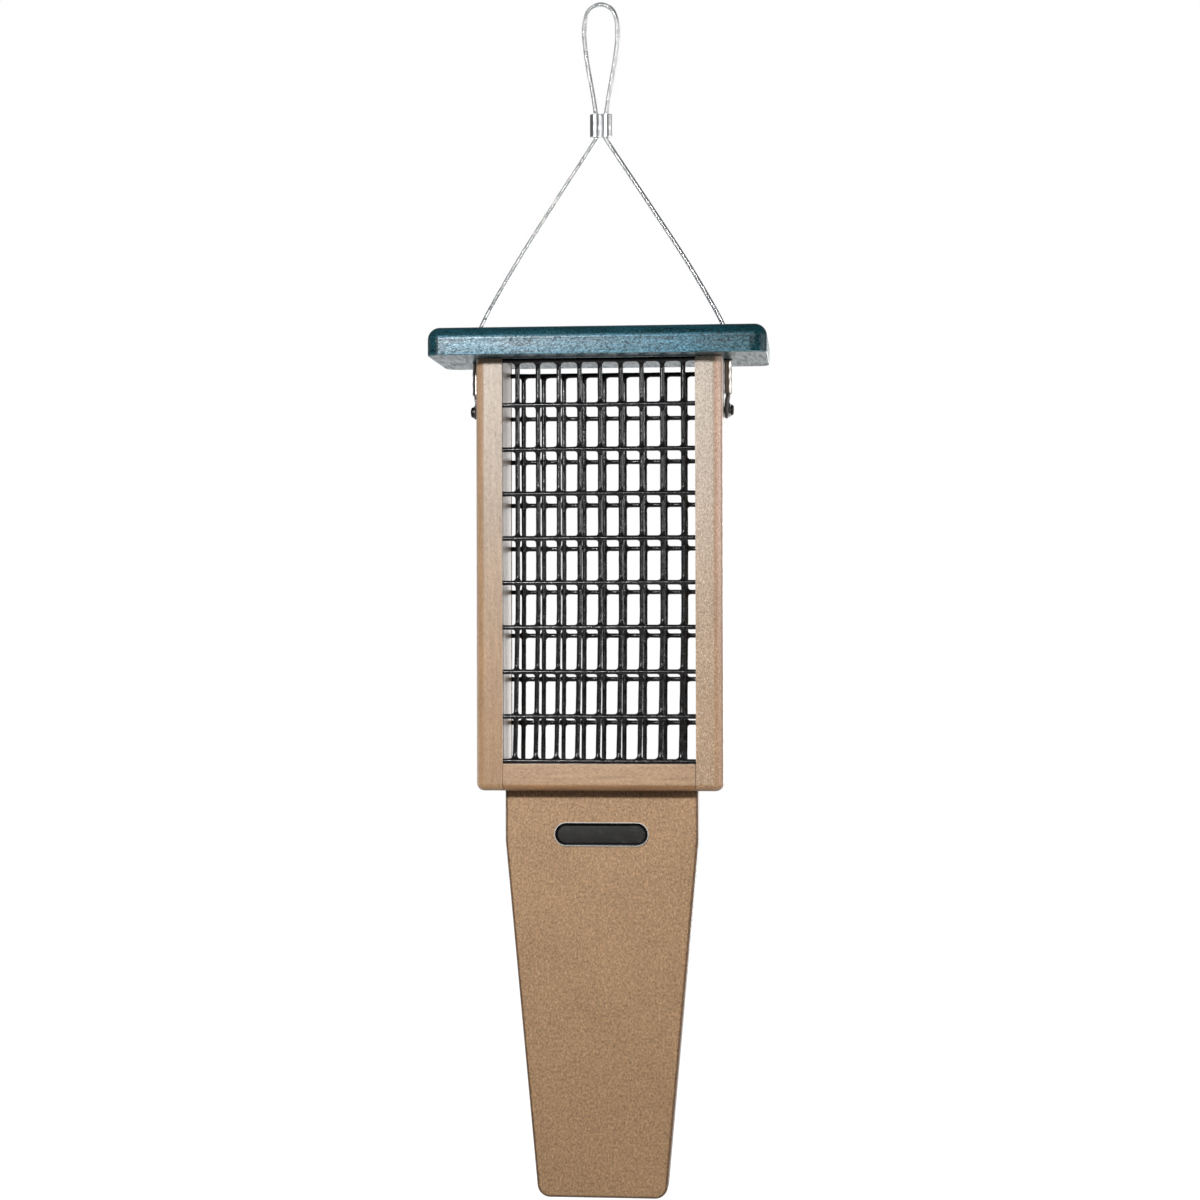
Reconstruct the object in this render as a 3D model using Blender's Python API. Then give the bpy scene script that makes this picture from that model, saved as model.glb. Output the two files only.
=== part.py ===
# Suet feeder for two stacked cakes. Two side boards and a floor board hold a front and a rear wire panel,
# a roof board slides on the steel cable that hangs the feeder, and a tapered tail board below gives a
# woodpecker something to brace its tail on. Metres, +Z up. The front faces -Y. The origin is the inner
# crown of the hanging loop, which is the point that a hook carries.

import math

import bmesh
import bpy
from mathutils import Matrix, Vector

# Fits shared by all pieces
seat_gap = 0.0003
cutter_overrun = 0.002
merge_distance = 0.000002
smooth_angle = math.radians(35)

# Cable, its hanging loop and the two slanting legs
cable_diameter = 0.0028
cable_bevel_resolution = 2
loop_half_width = 0.0104
loop_height = 0.067
leg_rise = 0.121

# Top ferrule, a pressed double-barrel sleeve
top_ferrule_length = 0.0143
top_strand_gap = 0.0037
top_side_wall = 0.0019
top_face_wall = 0.0014
ferrule_edge_round = 0.0004
sleeve_steps = 10

# Roof board
roof_width = 0.206
roof_depth = 0.084
roof_thickness = 0.0175
roof_edge_round = 0.0075
roof_hole_diameter = 0.0062
roof_hole_lean = 0.0009

# Side boards and floor board
cavity_width = 0.118
board_thickness = 0.0165
board_depth = 0.049
side_height = 0.2642
frame_edge_round = 0.006
frame_foot_round = 0.0045

# Wire panels, and the slots that hold them
wire_diameter = 0.0026
wire_sides = 8
weld_sink = 0.0004
column_pitch = 0.0127
row_pitch = 0.0272
panel_inset = 0.0036
panel_slot_depth = 0.007
wire_end_room = 0.001
rear_panel_drop = 0.0052

# Tail board
tail_side_lap = 0.0005
tail_foot_width = 0.079
tail_length = 0.25
tail_straight_length = 0.031
tail_foot_round = 0.008
tail_shoulder_round = 0.03
tail_edge_round = 0.002

# Blank label plate
label_width = 0.0583
label_height = 0.0149
label_thickness = 0.0008
label_drop = 0.0274

# Side ferrules, and the cable's end eyes below them
side_ferrule_length = 0.0206
side_ferrule_wall = 0.00065
side_strand_gap = 0.0004
side_ferrule_clearance = 0.0004
dead_end_inset = 0.0015
eye_slack = 0.0004
eye_drop = 0.0101

# Screws and washers
screw_sides = 16
screw_tip_length = 0.003
hole_end_room = 0.0015
eye_screw_diameter = 0.0042
eye_screw_length = 0.017
eye_screw_head_diameter = 0.0068
eye_screw_head_height = 0.0019
washer_diameter = 0.0086
washer_thickness = 0.0006
floor_screw_diameter = 0.0042
floor_screw_length = 0.034
floor_screw_head_diameter = 0.008
floor_screw_head_height = 0.0026
floor_screw_spacing = 0.024
tail_screw_diameter = 0.0042
tail_screw_length = 0.04
tail_screw_head_diameter = 0.0082
tail_screw_head_height = 0.0028
tail_screw_spacing = 0.04

# Heights that follow from the sizes above, from the loop's crown down
cable_radius = cable_diameter / 2
top_ferrule_top = -loop_height
top_ferrule_bottom = top_ferrule_top - top_ferrule_length
roof_top = top_ferrule_bottom - leg_rise
roof_bottom = roof_top - roof_thickness
side_top = roof_bottom - seat_gap
frame_bottom = side_top - side_height
floor_top = frame_bottom + board_thickness
floor_screw_z = frame_bottom + board_thickness / 2
tail_top = frame_bottom - seat_gap
tail_bottom = tail_top - tail_length
side_ferrule_top = roof_bottom - side_ferrule_clearance
side_ferrule_bottom = side_ferrule_top - side_ferrule_length
eye_screw_z = side_ferrule_bottom - eye_drop

# Places across the width
cavity_half = cavity_width / 2
side_outer = cavity_half + board_thickness
strand_bore_radius = cable_radius + seat_gap
top_strand_x = (cable_diameter + top_strand_gap) / 2
ferrule_x = side_outer + seat_gap + side_ferrule_wall + strand_bore_radius
eye_x = side_outer + seat_gap + cable_radius
washer_x = eye_x + cable_radius + seat_gap
eye_head_x = washer_x + washer_thickness + seat_gap
roof_hole_x = ferrule_x - roof_hole_lean
leg_foot_x = roof_hole_x - roof_hole_lean

# Places across the depth
board_half_depth = board_depth / 2
tail_half_thickness = board_thickness / 2
tail_top_half_width = cavity_half + tail_side_lap
wire_radius = wire_diameter / 2
wire_apothem = wire_radius * math.cos(math.pi / wire_sides)
panel_y = board_half_depth - panel_inset
column_y = panel_y - (2 * wire_apothem - weld_sink)
side_strand_spacing = cable_diameter + side_strand_gap
side_ferrule_y = side_strand_spacing / 2
eye_radius = eye_screw_diameter / 2 + cable_radius + eye_slack

# Rows that fill the height there is, columns that fill the width, and the steps along the cable
panel_height_room = side_height - board_thickness - wire_diameter - seat_gap
row_gap_count = round(panel_height_room / row_pitch)
fitted_row_pitch = panel_height_room / row_gap_count
half_column_count = math.floor((cavity_half - wire_diameter) / column_pitch)
strand_step = 2 * cable_diameter
eye_step = cable_diameter

# The loop's route, as shares across its half width and up from the top ferrule to the crown
loop_route_shares = (
    (0.31, 0.0),
    (0.42, 0.125),
    (0.62, 0.3),
    (0.84, 0.49),
    (0.97, 0.665),
    (0.995, 0.757),
    (0.93, 0.86),
    (0.654, 0.955),
)
# A leg's route, as shares of its way in and of its way up from the roof to the top ferrule
leg_route_shares = ((0.0, 0.0), (0.092, 0.114), (0.335, 0.37), (0.657, 0.677), (1.0, 1.0))
# Where an eye's strands leave the ferrule's line: across the eye's radius and up the eye's drop
eye_neck_shares = (0.62, 0.66)
# A pan head's outline, as shares of the head's radius and height
pan_head_shares = ((0.0, 1.0), (0.55, 0.96), (0.86, 0.72), (1.0, 0.3), (1.0, 0.0))
flat_head_rim_share = 0.15
# How near to a lobe's own radius the two lobes of a sleeve may be spaced
widest_valley_share = 0.98


def clear_scene():
    for old in list(bpy.data.objects):
        bpy.data.objects.remove(old, do_unlink=True)


def make_material(name, colour, roughness, metallic):
    material = bpy.data.materials.new(name)
    material.use_nodes = True
    shader = material.node_tree.nodes["Principled BSDF"]
    shader.inputs["Base Color"].default_value = (*colour, 1.0)
    shader.inputs["Roughness"].default_value = roughness
    shader.inputs["Metallic"].default_value = metallic
    return material


def add_object(name, data, material):
    obj = bpy.data.objects.new(name, data)
    bpy.context.scene.collection.objects.link(obj)
    if material:
        data.materials.append(material)
    return obj


def finish_mesh(name, bm, material=None, place=None):
    bmesh.ops.recalc_face_normals(bm, faces=bm.faces)
    mesh = bpy.data.meshes.new(name)
    bm.to_mesh(mesh)
    bm.free()
    mesh.shade_smooth()
    mesh.set_sharp_from_angle(angle=smooth_angle)
    obj = add_object(name, mesh, material)
    if place is not None:
        obj.matrix_world = place
    return obj


def place_along(origin, direction):
    """The matrix that stands a piece turned about Z at origin, with its +Z along direction."""
    turn = Vector(direction).to_track_quat("Z", "Y").to_matrix().to_4x4()
    return Matrix.Translation(Vector(origin)) @ turn


def box(corner, other_corner):
    low = Vector(map(min, corner, other_corner))
    high = Vector(map(max, corner, other_corner))
    bm = bmesh.new()
    bmesh.ops.create_cube(bm, size=1.0)
    bmesh.ops.scale(bm, vec=high - low, verts=bm.verts)
    bmesh.ops.translate(bm, vec=(low + high) / 2, verts=bm.verts)
    return bm


def cylinder(start, end, radius, sides):
    """A round bar from start to end, with a flat of its side facing each way across the world's axes."""
    run = Vector(end) - Vector(start)
    bm = bmesh.new()
    bmesh.ops.create_cone(
        bm, cap_ends=True, segments=sides, radius1=radius, radius2=radius, depth=run.length
    )
    half_step = Matrix.Rotation(math.pi / sides, 4, "Z")
    middle = (Vector(start) + Vector(end)) / 2
    bmesh.ops.transform(bm, matrix=place_along(middle, run) @ half_step, verts=bm.verts)
    return bm


def turned(profile, sides):
    """A solid turned about Z from (radius, height) points."""
    bm = bmesh.new()
    verts = [bm.verts.new((radius, 0.0, height)) for radius, height in profile]
    edges = [bm.edges.new(pair) for pair in zip(verts, verts[1:])]
    bmesh.ops.spin(
        bm,
        geom=verts + edges,
        cent=(0.0, 0.0, 0.0),
        axis=(0.0, 0.0, 1.0),
        angle=2 * math.pi,
        steps=sides,
        use_merge=True,
    )
    bmesh.ops.remove_doubles(bm, verts=bm.verts, dist=merge_distance)
    return bm


def plate(outline, front, back):
    """A solid between the planes y = front and y = back, from an outline of (x, z) points."""
    bm = bmesh.new()
    face = bm.faces.new([bm.verts.new((x, front, z)) for x, z in outline])
    moved = bmesh.ops.extrude_face_region(bm, geom=[face])
    verts = [item for item in moved["geom"] if isinstance(item, bmesh.types.BMVert)]
    bmesh.ops.translate(bm, vec=(0.0, back - front, 0.0), verts=verts)
    return bm


def arc(centre, radius, start_degrees, end_degrees, steps):
    turn = end_degrees - start_degrees
    angles = [math.radians(start_degrees + turn * i / steps) for i in range(steps + 1)]
    return [(centre[0] + radius * math.cos(a), centre[1] + radius * math.sin(a)) for a in angles]


def on_plane(edge, axis, value):
    return all(abs(vert.co[axis] - value) < merge_distance for vert in edge.verts)


def round_edges(bm, edges, radius, segments):
    bmesh.ops.bevel(
        bm,
        geom=edges,
        offset=radius,
        offset_type="OFFSET",
        affect="EDGES",
        segments=segments,
        profile=0.5,
        material=-1,
        clamp_overlap=True,
    )


def combine(target, operation, other):
    """Adds a Boolean modifier to target, and turns the other object into its hidden helper."""
    modifier = target.modifiers.new(other.name, "BOOLEAN")
    modifier.operation = operation
    modifier.object = other
    other.hide_render = True
    other.display_type = "WIRE"


def drill(target, name, start, end, radius):
    hole = cylinder(start, end, radius, 2 * screw_sides)
    combine(target, "DIFFERENCE", finish_mesh(name, hole))


def smooth_route(points, spacing):
    """Points about spacing apart on a smooth curve through the route's own points."""
    points = [Vector(point) for point in points]
    ends = [2 * points[0] - points[1]] + points + [2 * points[-1] - points[-2]]
    route = [points[0]]
    for before, start, end, after in zip(ends, ends[1:], ends[2:], ends[3:]):
        steps = max(1, round((end - start).length / spacing))
        for step in range(1, steps + 1):
            t = step / steps
            bend = 2 * before - 5 * start + 4 * end - after
            twist = 3 * start - before - 3 * end + after
            route.append((2 * start + (end - before) * t + bend * t**2 + twist * t**3) / 2)
    return route


def tube(name, route, material):
    curve = bpy.data.curves.new(name, "CURVE")
    curve.dimensions = "3D"
    curve.bevel_depth = cable_radius
    curve.bevel_resolution = cable_bevel_resolution
    curve.use_fill_caps = True
    spline = curve.splines.new("POLY")
    spline.points.add(len(route) - 1)
    for point, place in zip(spline.points, route):
        point.co = (*place, 1.0)
    return add_object(name, curve, material)


def build_roof(material):
    bm = box(
        (-roof_width / 2, -roof_depth / 2, roof_bottom),
        (roof_width / 2, roof_depth / 2, roof_top),
    )
    rounded = [edge for edge in bm.edges if not on_plane(edge, 2, roof_bottom)]
    round_edges(bm, rounded, roof_edge_round, 5)
    roof = finish_mesh("roof_board", bm, material)
    for side, sign in (("left", -1), ("right", 1)):
        drill(
            roof,
            f"{side}_cable_hole_cutter",
            (sign * roof_hole_x, 0.0, roof_bottom - cutter_overrun),
            (sign * roof_hole_x, 0.0, roof_top + cutter_overrun),
            roof_hole_diameter / 2,
        )


def floor_screw_places():
    return (-floor_screw_spacing / 2, floor_screw_spacing / 2)


def tail_screw_places():
    return (-tail_screw_spacing, 0.0, tail_screw_spacing)


def build_side_board(side, sign, material):
    bm = box(
        (sign * cavity_half, -board_half_depth, frame_bottom),
        (sign * side_outer, board_half_depth, side_top),
    )
    uprights = []
    for edge in bm.edges:
        at_face = on_plane(edge, 1, board_half_depth) or on_plane(edge, 1, -board_half_depth)
        if at_face and on_plane(edge, 0, sign * side_outer):
            uprights.append(edge)
    round_edges(bm, uprights, frame_edge_round, 4)
    foot = []
    for edge in bm.edges:
        if on_plane(edge, 2, frame_bottom) and not on_plane(edge, 0, sign * cavity_half):
            foot.append(edge)
    round_edges(bm, foot, frame_foot_round, 4)
    board = finish_mesh(f"{side}_side_board", bm, material)
    slot_half_width = wire_radius + seat_gap
    for panel, facing, drop in (("front", -1, 0.0), ("rear", 1, rear_panel_drop)):
        slot = box(
            (
                sign * (cavity_half - cutter_overrun),
                facing * panel_y - slot_half_width,
                floor_top - drop - seat_gap,
            ),
            (
                sign * (cavity_half + panel_slot_depth),
                facing * panel_y + slot_half_width,
                side_top + cutter_overrun,
            ),
        )
        combine(board, "DIFFERENCE", finish_mesh(f"{side}_{panel}_slot_cutter", slot))
    drill(
        board,
        f"{side}_eye_screw_hole_cutter",
        (sign * (eye_head_x - eye_screw_length - hole_end_room), side_ferrule_y, eye_screw_z),
        (sign * (side_outer + cutter_overrun), side_ferrule_y, eye_screw_z),
        eye_screw_diameter / 2 + seat_gap,
    )
    for y in floor_screw_places():
        sink = finish_mesh(
            f"{side}_floor_screw_sink_cutter",
            turned(floor_screw_sink_profile(), 2 * screw_sides),
            place=place_along((sign * side_outer, y, floor_screw_z), (sign, 0.0, 0.0)),
        )
        combine(board, "DIFFERENCE", sink)


def build_floor(material):
    half_width = cavity_half - seat_gap
    bm = box(
        (-half_width, -board_half_depth, frame_bottom),
        (half_width, board_half_depth, floor_top),
    )
    rounded = []
    for edge in bm.edges:
        at_face = on_plane(edge, 1, board_half_depth) or on_plane(edge, 1, -board_half_depth)
        if at_face and on_plane(edge, 2, frame_bottom):
            rounded.append(edge)
    round_edges(bm, rounded, frame_foot_round, 4)
    floor = finish_mesh("floor_board", bm, material)
    groove = box(
        (
            -cavity_half - cutter_overrun,
            column_y - wire_radius - seat_gap,
            floor_top - rear_panel_drop - seat_gap,
        ),
        (
            cavity_half + cutter_overrun,
            panel_y + wire_radius + seat_gap,
            floor_top + cutter_overrun,
        ),
    )
    combine(floor, "DIFFERENCE", finish_mesh("rear_groove_cutter", groove))
    for side, sign in (("left", -1), ("right", 1)):
        for y in floor_screw_places():
            drill(
                floor,
                f"{side}_floor_pilot_cutter",
                (sign * (side_outer - floor_screw_length - hole_end_room), y, floor_screw_z),
                (sign * (cavity_half + cutter_overrun), y, floor_screw_z),
                floor_screw_diameter / 2 + seat_gap,
            )
    for x in tail_screw_places():
        sink = finish_mesh(
            "tail_screw_sink_cutter",
            turned(tail_screw_sink_profile(), 2 * screw_sides),
            place=place_along((x, 0.0, floor_top), (0.0, 0.0, 1.0)),
        )
        combine(floor, "DIFFERENCE", sink)


def sink_profile(diameter, head_diameter, head_height):
    """The countersunk hole through a board for a flat-headed screw, from the board's face at zero."""
    head_radius = head_diameter / 2 + seat_gap
    shank_radius = diameter / 2 + seat_gap
    return (
        (0.0, cutter_overrun),
        (head_radius, cutter_overrun),
        (head_radius, 0.0),
        (shank_radius, -head_height - seat_gap),
        (shank_radius, -board_thickness - cutter_overrun),
        (0.0, -board_thickness - cutter_overrun),
    )


def floor_screw_sink_profile():
    return sink_profile(floor_screw_diameter, floor_screw_head_diameter, floor_screw_head_height)


def tail_screw_sink_profile():
    return sink_profile(tail_screw_diameter, tail_screw_head_diameter, tail_screw_head_height)


def tail_outline():
    """The tail board's outline, down the right side, round the foot and up the left."""
    half_top = tail_top_half_width
    half_foot = tail_foot_width / 2
    shoulder_z = tail_top - tail_straight_length
    lean = math.atan2(half_top - half_foot, shoulder_z - tail_bottom)
    shoulder_lift = tail_shoulder_round * math.tan(lean / 2)
    shoulder_centre = (half_top - tail_shoulder_round, shoulder_z + shoulder_lift)
    foot_inset = tail_foot_round * math.tan(math.pi / 4 - lean / 2)
    foot_centre = (half_foot - foot_inset, tail_bottom + tail_foot_round)
    lean_degrees = math.degrees(lean)
    right = [(half_top, tail_top)]
    right += arc(shoulder_centre, tail_shoulder_round, 0.0, -lean_degrees, 3)
    right += arc(foot_centre, tail_foot_round, -lean_degrees, -90.0, 6)
    return right + [(-x, z) for x, z in reversed(right)]


def build_tail(material):
    bm = plate(tail_outline(), -tail_half_thickness, tail_half_thickness)
    rounded = []
    for edge in bm.edges:
        at_face = on_plane(edge, 1, tail_half_thickness) or on_plane(edge, 1, -tail_half_thickness)
        if at_face and not on_plane(edge, 2, tail_top):
            rounded.append(edge)
    round_edges(bm, rounded, tail_edge_round, 2)
    tail = finish_mesh("tail_board", bm, material)
    for x in tail_screw_places():
        drill(
            tail,
            "tail_screw_hole_cutter",
            (x, 0.0, floor_top - tail_screw_length - hole_end_room),
            (x, 0.0, tail_top + cutter_overrun),
            tail_screw_diameter / 2 + seat_gap,
        )


def build_label(material):
    centre_z = frame_bottom - label_drop
    end_radius = label_height / 2
    end_x = label_width / 2 - end_radius
    outline = arc((end_x, centre_z), end_radius, -90.0, 90.0, 12)
    outline += arc((-end_x, centre_z), end_radius, 90.0, 270.0, 12)
    back = -tail_half_thickness - seat_gap
    finish_mesh("label_plate", plate(outline, back - label_thickness, back), material)


def wire_group(runs):
    """One mesh of straight wires from (start, end) pairs."""
    group = bmesh.new()
    for start, end in runs:
        single = cylinder(start, end, wire_radius, wire_sides)
        mesh = bpy.data.meshes.new("single_wire")
        single.to_mesh(mesh)
        single.free()
        group.from_mesh(mesh)
        bpy.data.meshes.remove(mesh)
    return group


def build_panel(panel, facing, drop, material):
    """One welded panel, with its rows outside and its columns inside, fused where they cross."""
    bottom_row = floor_top + seat_gap + wire_radius - drop
    top_row = bottom_row + panel_height_room
    row_end = cavity_half + panel_slot_depth - wire_end_room
    y = facing * panel_y
    rows = []
    for i in range(row_gap_count + 1):
        z = bottom_row + i * fitted_row_pitch
        rows.append(((-row_end, y, z), (row_end, y, z)))
    y = facing * column_y
    columns = []
    for i in range(-half_column_count, half_column_count + 1):
        x = i * column_pitch
        columns.append(((x, y, bottom_row - wire_apothem / 2), (x, y, top_row + wire_apothem / 2)))
    mesh_panel = finish_mesh(f"{panel}_mesh_panel", wire_group(rows), material)
    combine(mesh_panel, "UNION", finish_mesh(f"{panel}_panel_columns", wire_group(columns)))


def pan_screw_profile(diameter, length, head_diameter, head_height):
    """A pan-head screw: the head's underside is at zero and the head rises along +Z."""
    head = [(r * head_diameter / 2, h * head_height) for r, h in pan_head_shares]
    shank = [(diameter / 2, 0.0), (diameter / 2, screw_tip_length - length), (0.0, -length)]
    return head + shank


def flat_screw_profile(diameter, length, head_diameter, head_height):
    """A countersunk screw: the head's flat top is at zero and the shank runs down -Z."""
    radius = diameter / 2
    head_radius = head_diameter / 2
    return (
        (0.0, 0.0),
        (head_radius, 0.0),
        (head_radius, -flat_head_rim_share * head_height),
        (radius, -head_height),
        (radius, screw_tip_length - length),
        (0.0, -length),
    )


def sleeve_outline(spacing, side_wall, face_wall):
    """Two oval lobes side by side, one round each strand, as (across, deep) points."""
    centre = spacing / 2
    lobe_across = strand_bore_radius + side_wall
    lobe_deep = strand_bore_radius + face_wall
    valley_share = min(widest_valley_share, centre / lobe_across)
    sweep = math.degrees(math.pi - math.acos(valley_share))
    right = []
    for across, deep in arc((0.0, 0.0), 1.0, -sweep, sweep, sleeve_steps):
        right.append((centre + lobe_across * across, lobe_deep * deep))
    left = [(-across, -deep) for across, deep in right]
    return right[:-1] + left[:-1]


def upright_sleeve(name, outline, length, foot, turn, material):
    """A sleeve of that outline, standing with its foot's centre at foot and turned about Z."""
    bm = plate(outline, 0.0, length)
    rims = [edge for edge in bm.edges if on_plane(edge, 1, 0.0) or on_plane(edge, 1, length)]
    round_edges(bm, rims, ferrule_edge_round, 1)
    stand = Matrix.Rotation(turn, 4, "Z") @ Matrix.Rotation(math.pi / 2, 4, "X")
    return finish_mesh(name, bm, material, Matrix.Translation(foot) @ stand)


def build_side_ferrule(side, sign, material):
    outline = sleeve_outline(side_strand_spacing, side_ferrule_wall, side_ferrule_wall)
    foot = (sign * ferrule_x, side_ferrule_y, side_ferrule_bottom)
    ferrule = upright_sleeve(
        f"{side}_side_ferrule", outline, side_ferrule_length, foot, math.pi / 2, material
    )
    for strand, y in (("live", 0.0), ("dead", side_strand_spacing)):
        drill(
            ferrule,
            f"{side}_{strand}_bore_cutter",
            (sign * ferrule_x, y, side_ferrule_bottom - cutter_overrun),
            (sign * ferrule_x, y, side_ferrule_top + cutter_overrun),
            strand_bore_radius,
        )


def build_cable_eye(side, sign, material):
    """The cable's end: down through the ferrule, round the screw and back up to the dead end."""
    neck_x = (ferrule_x + eye_x) / 2
    neck_y = eye_neck_shares[0] * eye_radius
    neck_z = eye_screw_z + eye_neck_shares[1] * eye_drop
    route = [
        (sign * ferrule_x, side_strand_spacing, side_ferrule_top - dead_end_inset),
        (sign * ferrule_x, side_strand_spacing, side_ferrule_bottom),
        (sign * neck_x, side_ferrule_y + neck_y, neck_z),
    ]
    for y, z in arc((side_ferrule_y, eye_screw_z), eye_radius, 12.0, -192.0, 8):
        route.append((sign * eye_x, y, z))
    route += [
        (sign * neck_x, side_ferrule_y - neck_y, neck_z),
        (sign * ferrule_x, 0.0, side_ferrule_bottom),
        (sign * ferrule_x, 0.0, side_ferrule_top),
    ]
    tube(f"{side}_cable_eye", smooth_route(route, eye_step), material)


def build_eye_screw(side, sign, washer_metal, screw_metal):
    """The washer and the screw that hold the eye on the side board."""
    hole_radius = eye_screw_diameter / 2 + seat_gap
    washer_profile = (
        (hole_radius, washer_thickness),
        (washer_diameter / 2, washer_thickness),
        (washer_diameter / 2, 0.0),
        (hole_radius, 0.0),
        (hole_radius, washer_thickness),
    )
    finish_mesh(
        f"{side}_eye_washer",
        turned(washer_profile, 2 * screw_sides),
        washer_metal,
        place_along((sign * washer_x, side_ferrule_y, eye_screw_z), (sign, 0.0, 0.0)),
    )
    screw_profile = pan_screw_profile(
        eye_screw_diameter, eye_screw_length, eye_screw_head_diameter, eye_screw_head_height
    )
    finish_mesh(
        f"{side}_eye_screw",
        turned(screw_profile, screw_sides),
        screw_metal,
        place_along((sign * eye_head_x, side_ferrule_y, eye_screw_z), (sign, 0.0, 0.0)),
    )


def build_lower_cable(side, sign, material):
    """The strand that runs from the side ferrule up through the roof's hole."""
    route = [
        (sign * ferrule_x, 0.0, side_ferrule_top + seat_gap),
        (sign * roof_hole_x, 0.0, (roof_top + roof_bottom) / 2),
        (sign * leg_foot_x, 0.0, roof_top),
    ]
    tube(f"{side}_lower_cable", smooth_route(route, strand_step), material)


def build_leg(side, sign, material):
    foot_z = roof_top + cable_radius
    head_z = top_ferrule_bottom - cable_radius
    route = []
    for inward, upward in leg_route_shares:
        x = leg_foot_x + (top_strand_x - leg_foot_x) * inward
        route.append((sign * x, 0.0, foot_z + (head_z - foot_z) * upward))
    tube(f"{side}_cable_leg", smooth_route(route, strand_step), material)


def build_loop(material):
    crown_z = cable_radius
    half = [
        (top_strand_x, top_ferrule_bottom),
        (top_strand_x, (top_ferrule_top + top_ferrule_bottom) / 2),
    ]
    for across, upward in loop_route_shares:
        z = top_ferrule_top + (crown_z - top_ferrule_top) * upward
        half.append((across * loop_half_width, z))
    route = [(-x, 0.0, z) for x, z in half]
    route.append((0.0, 0.0, crown_z))
    route += [(x, 0.0, z) for x, z in reversed(half)]
    tube("hanging_loop_cable", smooth_route(route, strand_step), material)


def build_top_ferrule(material):
    outline = sleeve_outline(2 * top_strand_x, top_side_wall, top_face_wall)
    foot = (0.0, 0.0, top_ferrule_bottom)
    ferrule = upright_sleeve("top_ferrule", outline, top_ferrule_length, foot, 0.0, material)
    for side, sign in (("left", -1), ("right", 1)):
        drill(
            ferrule,
            f"{side}_top_bore_cutter",
            (sign * top_strand_x, 0.0, top_ferrule_bottom - cutter_overrun),
            (sign * top_strand_x, 0.0, top_ferrule_top + cutter_overrun),
            strand_bore_radius,
        )


def build_floor_screws(side, sign, material):
    profile = flat_screw_profile(
        floor_screw_diameter, floor_screw_length, floor_screw_head_diameter, floor_screw_head_height
    )
    for place, y in zip(("front", "rear"), floor_screw_places()):
        finish_mesh(
            f"{side}_{place}_floor_screw",
            turned(profile, screw_sides),
            material,
            place_along((sign * side_outer, y, floor_screw_z), (sign, 0.0, 0.0)),
        )


def build_tail_screws(material):
    profile = flat_screw_profile(
        tail_screw_diameter, tail_screw_length, tail_screw_head_diameter, tail_screw_head_height
    )
    for place, x in zip(("left", "centre", "right"), tail_screw_places()):
        finish_mesh(
            f"{place}_tail_screw",
            turned(profile, screw_sides),
            material,
            place_along((x, 0.0, floor_top), (0.0, 0.0, 1.0)),
        )


def main():
    clear_scene()
    taupe = make_material("taupe_board", (0.56, 0.43, 0.32), 0.55, 0.0)
    green = make_material("green_board", (0.06, 0.15, 0.16), 0.5, 0.0)
    vinyl = make_material("black_vinyl", (0.012, 0.012, 0.013), 0.28, 0.0)
    cable = make_material("steel_cable", (0.62, 0.62, 0.62), 0.35, 0.9)
    aluminium = make_material("aluminium", (0.68, 0.68, 0.69), 0.38, 1.0)
    steel = make_material("screw_steel", (0.55, 0.55, 0.55), 0.3, 1.0)
    black = make_material("label_black", (0.015, 0.014, 0.014), 0.35, 0.0)
    build_roof(green)
    build_floor(taupe)
    build_tail(taupe)
    build_label(black)
    build_panel("front", -1, 0.0, vinyl)
    build_panel("rear", 1, rear_panel_drop, vinyl)
    for side, sign in (("left", -1), ("right", 1)):
        build_side_board(side, sign, taupe)
        build_side_ferrule(side, sign, aluminium)
        build_cable_eye(side, sign, cable)
        build_eye_screw(side, sign, aluminium, steel)
        build_floor_screws(side, sign, steel)
        build_lower_cable(side, sign, cable)
        build_leg(side, sign, cable)
    build_tail_screws(steel)
    build_loop(cable)
    build_top_ferrule(aluminium)


main()
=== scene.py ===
import math

import bmesh
import bpy
from mathutils import Matrix, Vector, kdtree, noise


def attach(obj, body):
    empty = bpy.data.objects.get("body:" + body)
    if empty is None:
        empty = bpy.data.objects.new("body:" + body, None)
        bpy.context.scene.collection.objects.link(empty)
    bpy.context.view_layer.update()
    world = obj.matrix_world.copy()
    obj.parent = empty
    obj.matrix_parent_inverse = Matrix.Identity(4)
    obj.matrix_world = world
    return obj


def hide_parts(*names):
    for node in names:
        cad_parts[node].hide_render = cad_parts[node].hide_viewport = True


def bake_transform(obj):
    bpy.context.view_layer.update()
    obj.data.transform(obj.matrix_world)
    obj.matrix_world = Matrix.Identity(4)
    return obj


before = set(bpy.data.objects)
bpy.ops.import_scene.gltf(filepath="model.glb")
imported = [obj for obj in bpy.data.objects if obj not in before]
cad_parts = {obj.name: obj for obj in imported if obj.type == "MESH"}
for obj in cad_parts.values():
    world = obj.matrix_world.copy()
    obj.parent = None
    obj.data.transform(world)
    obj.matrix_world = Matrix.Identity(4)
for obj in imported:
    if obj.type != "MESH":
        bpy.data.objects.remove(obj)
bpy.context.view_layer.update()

mm = 0.001
handed = (("left", -1), ("right", 1))
faced = (("front", -1), ("rear", 1))


def fromMm(values):
    # sizes are written in millimetres
    if isinstance(values, dict):
        return {key: fromMm(value) for key, value in values.items()}
    if isinstance(values, tuple):
        return tuple(fromMm(value) for value in values)
    return values * mm


def addObject(name, data):
    made = bpy.data.objects.new(name, data)
    bpy.context.scene.collection.objects.link(made)
    return made


def aimed(place, direction, axis="Z"):
    turn = Vector(direction).to_track_quat(axis, "Y").to_matrix().to_4x4()
    return Matrix.Translation(Vector(place)) @ turn


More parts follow.
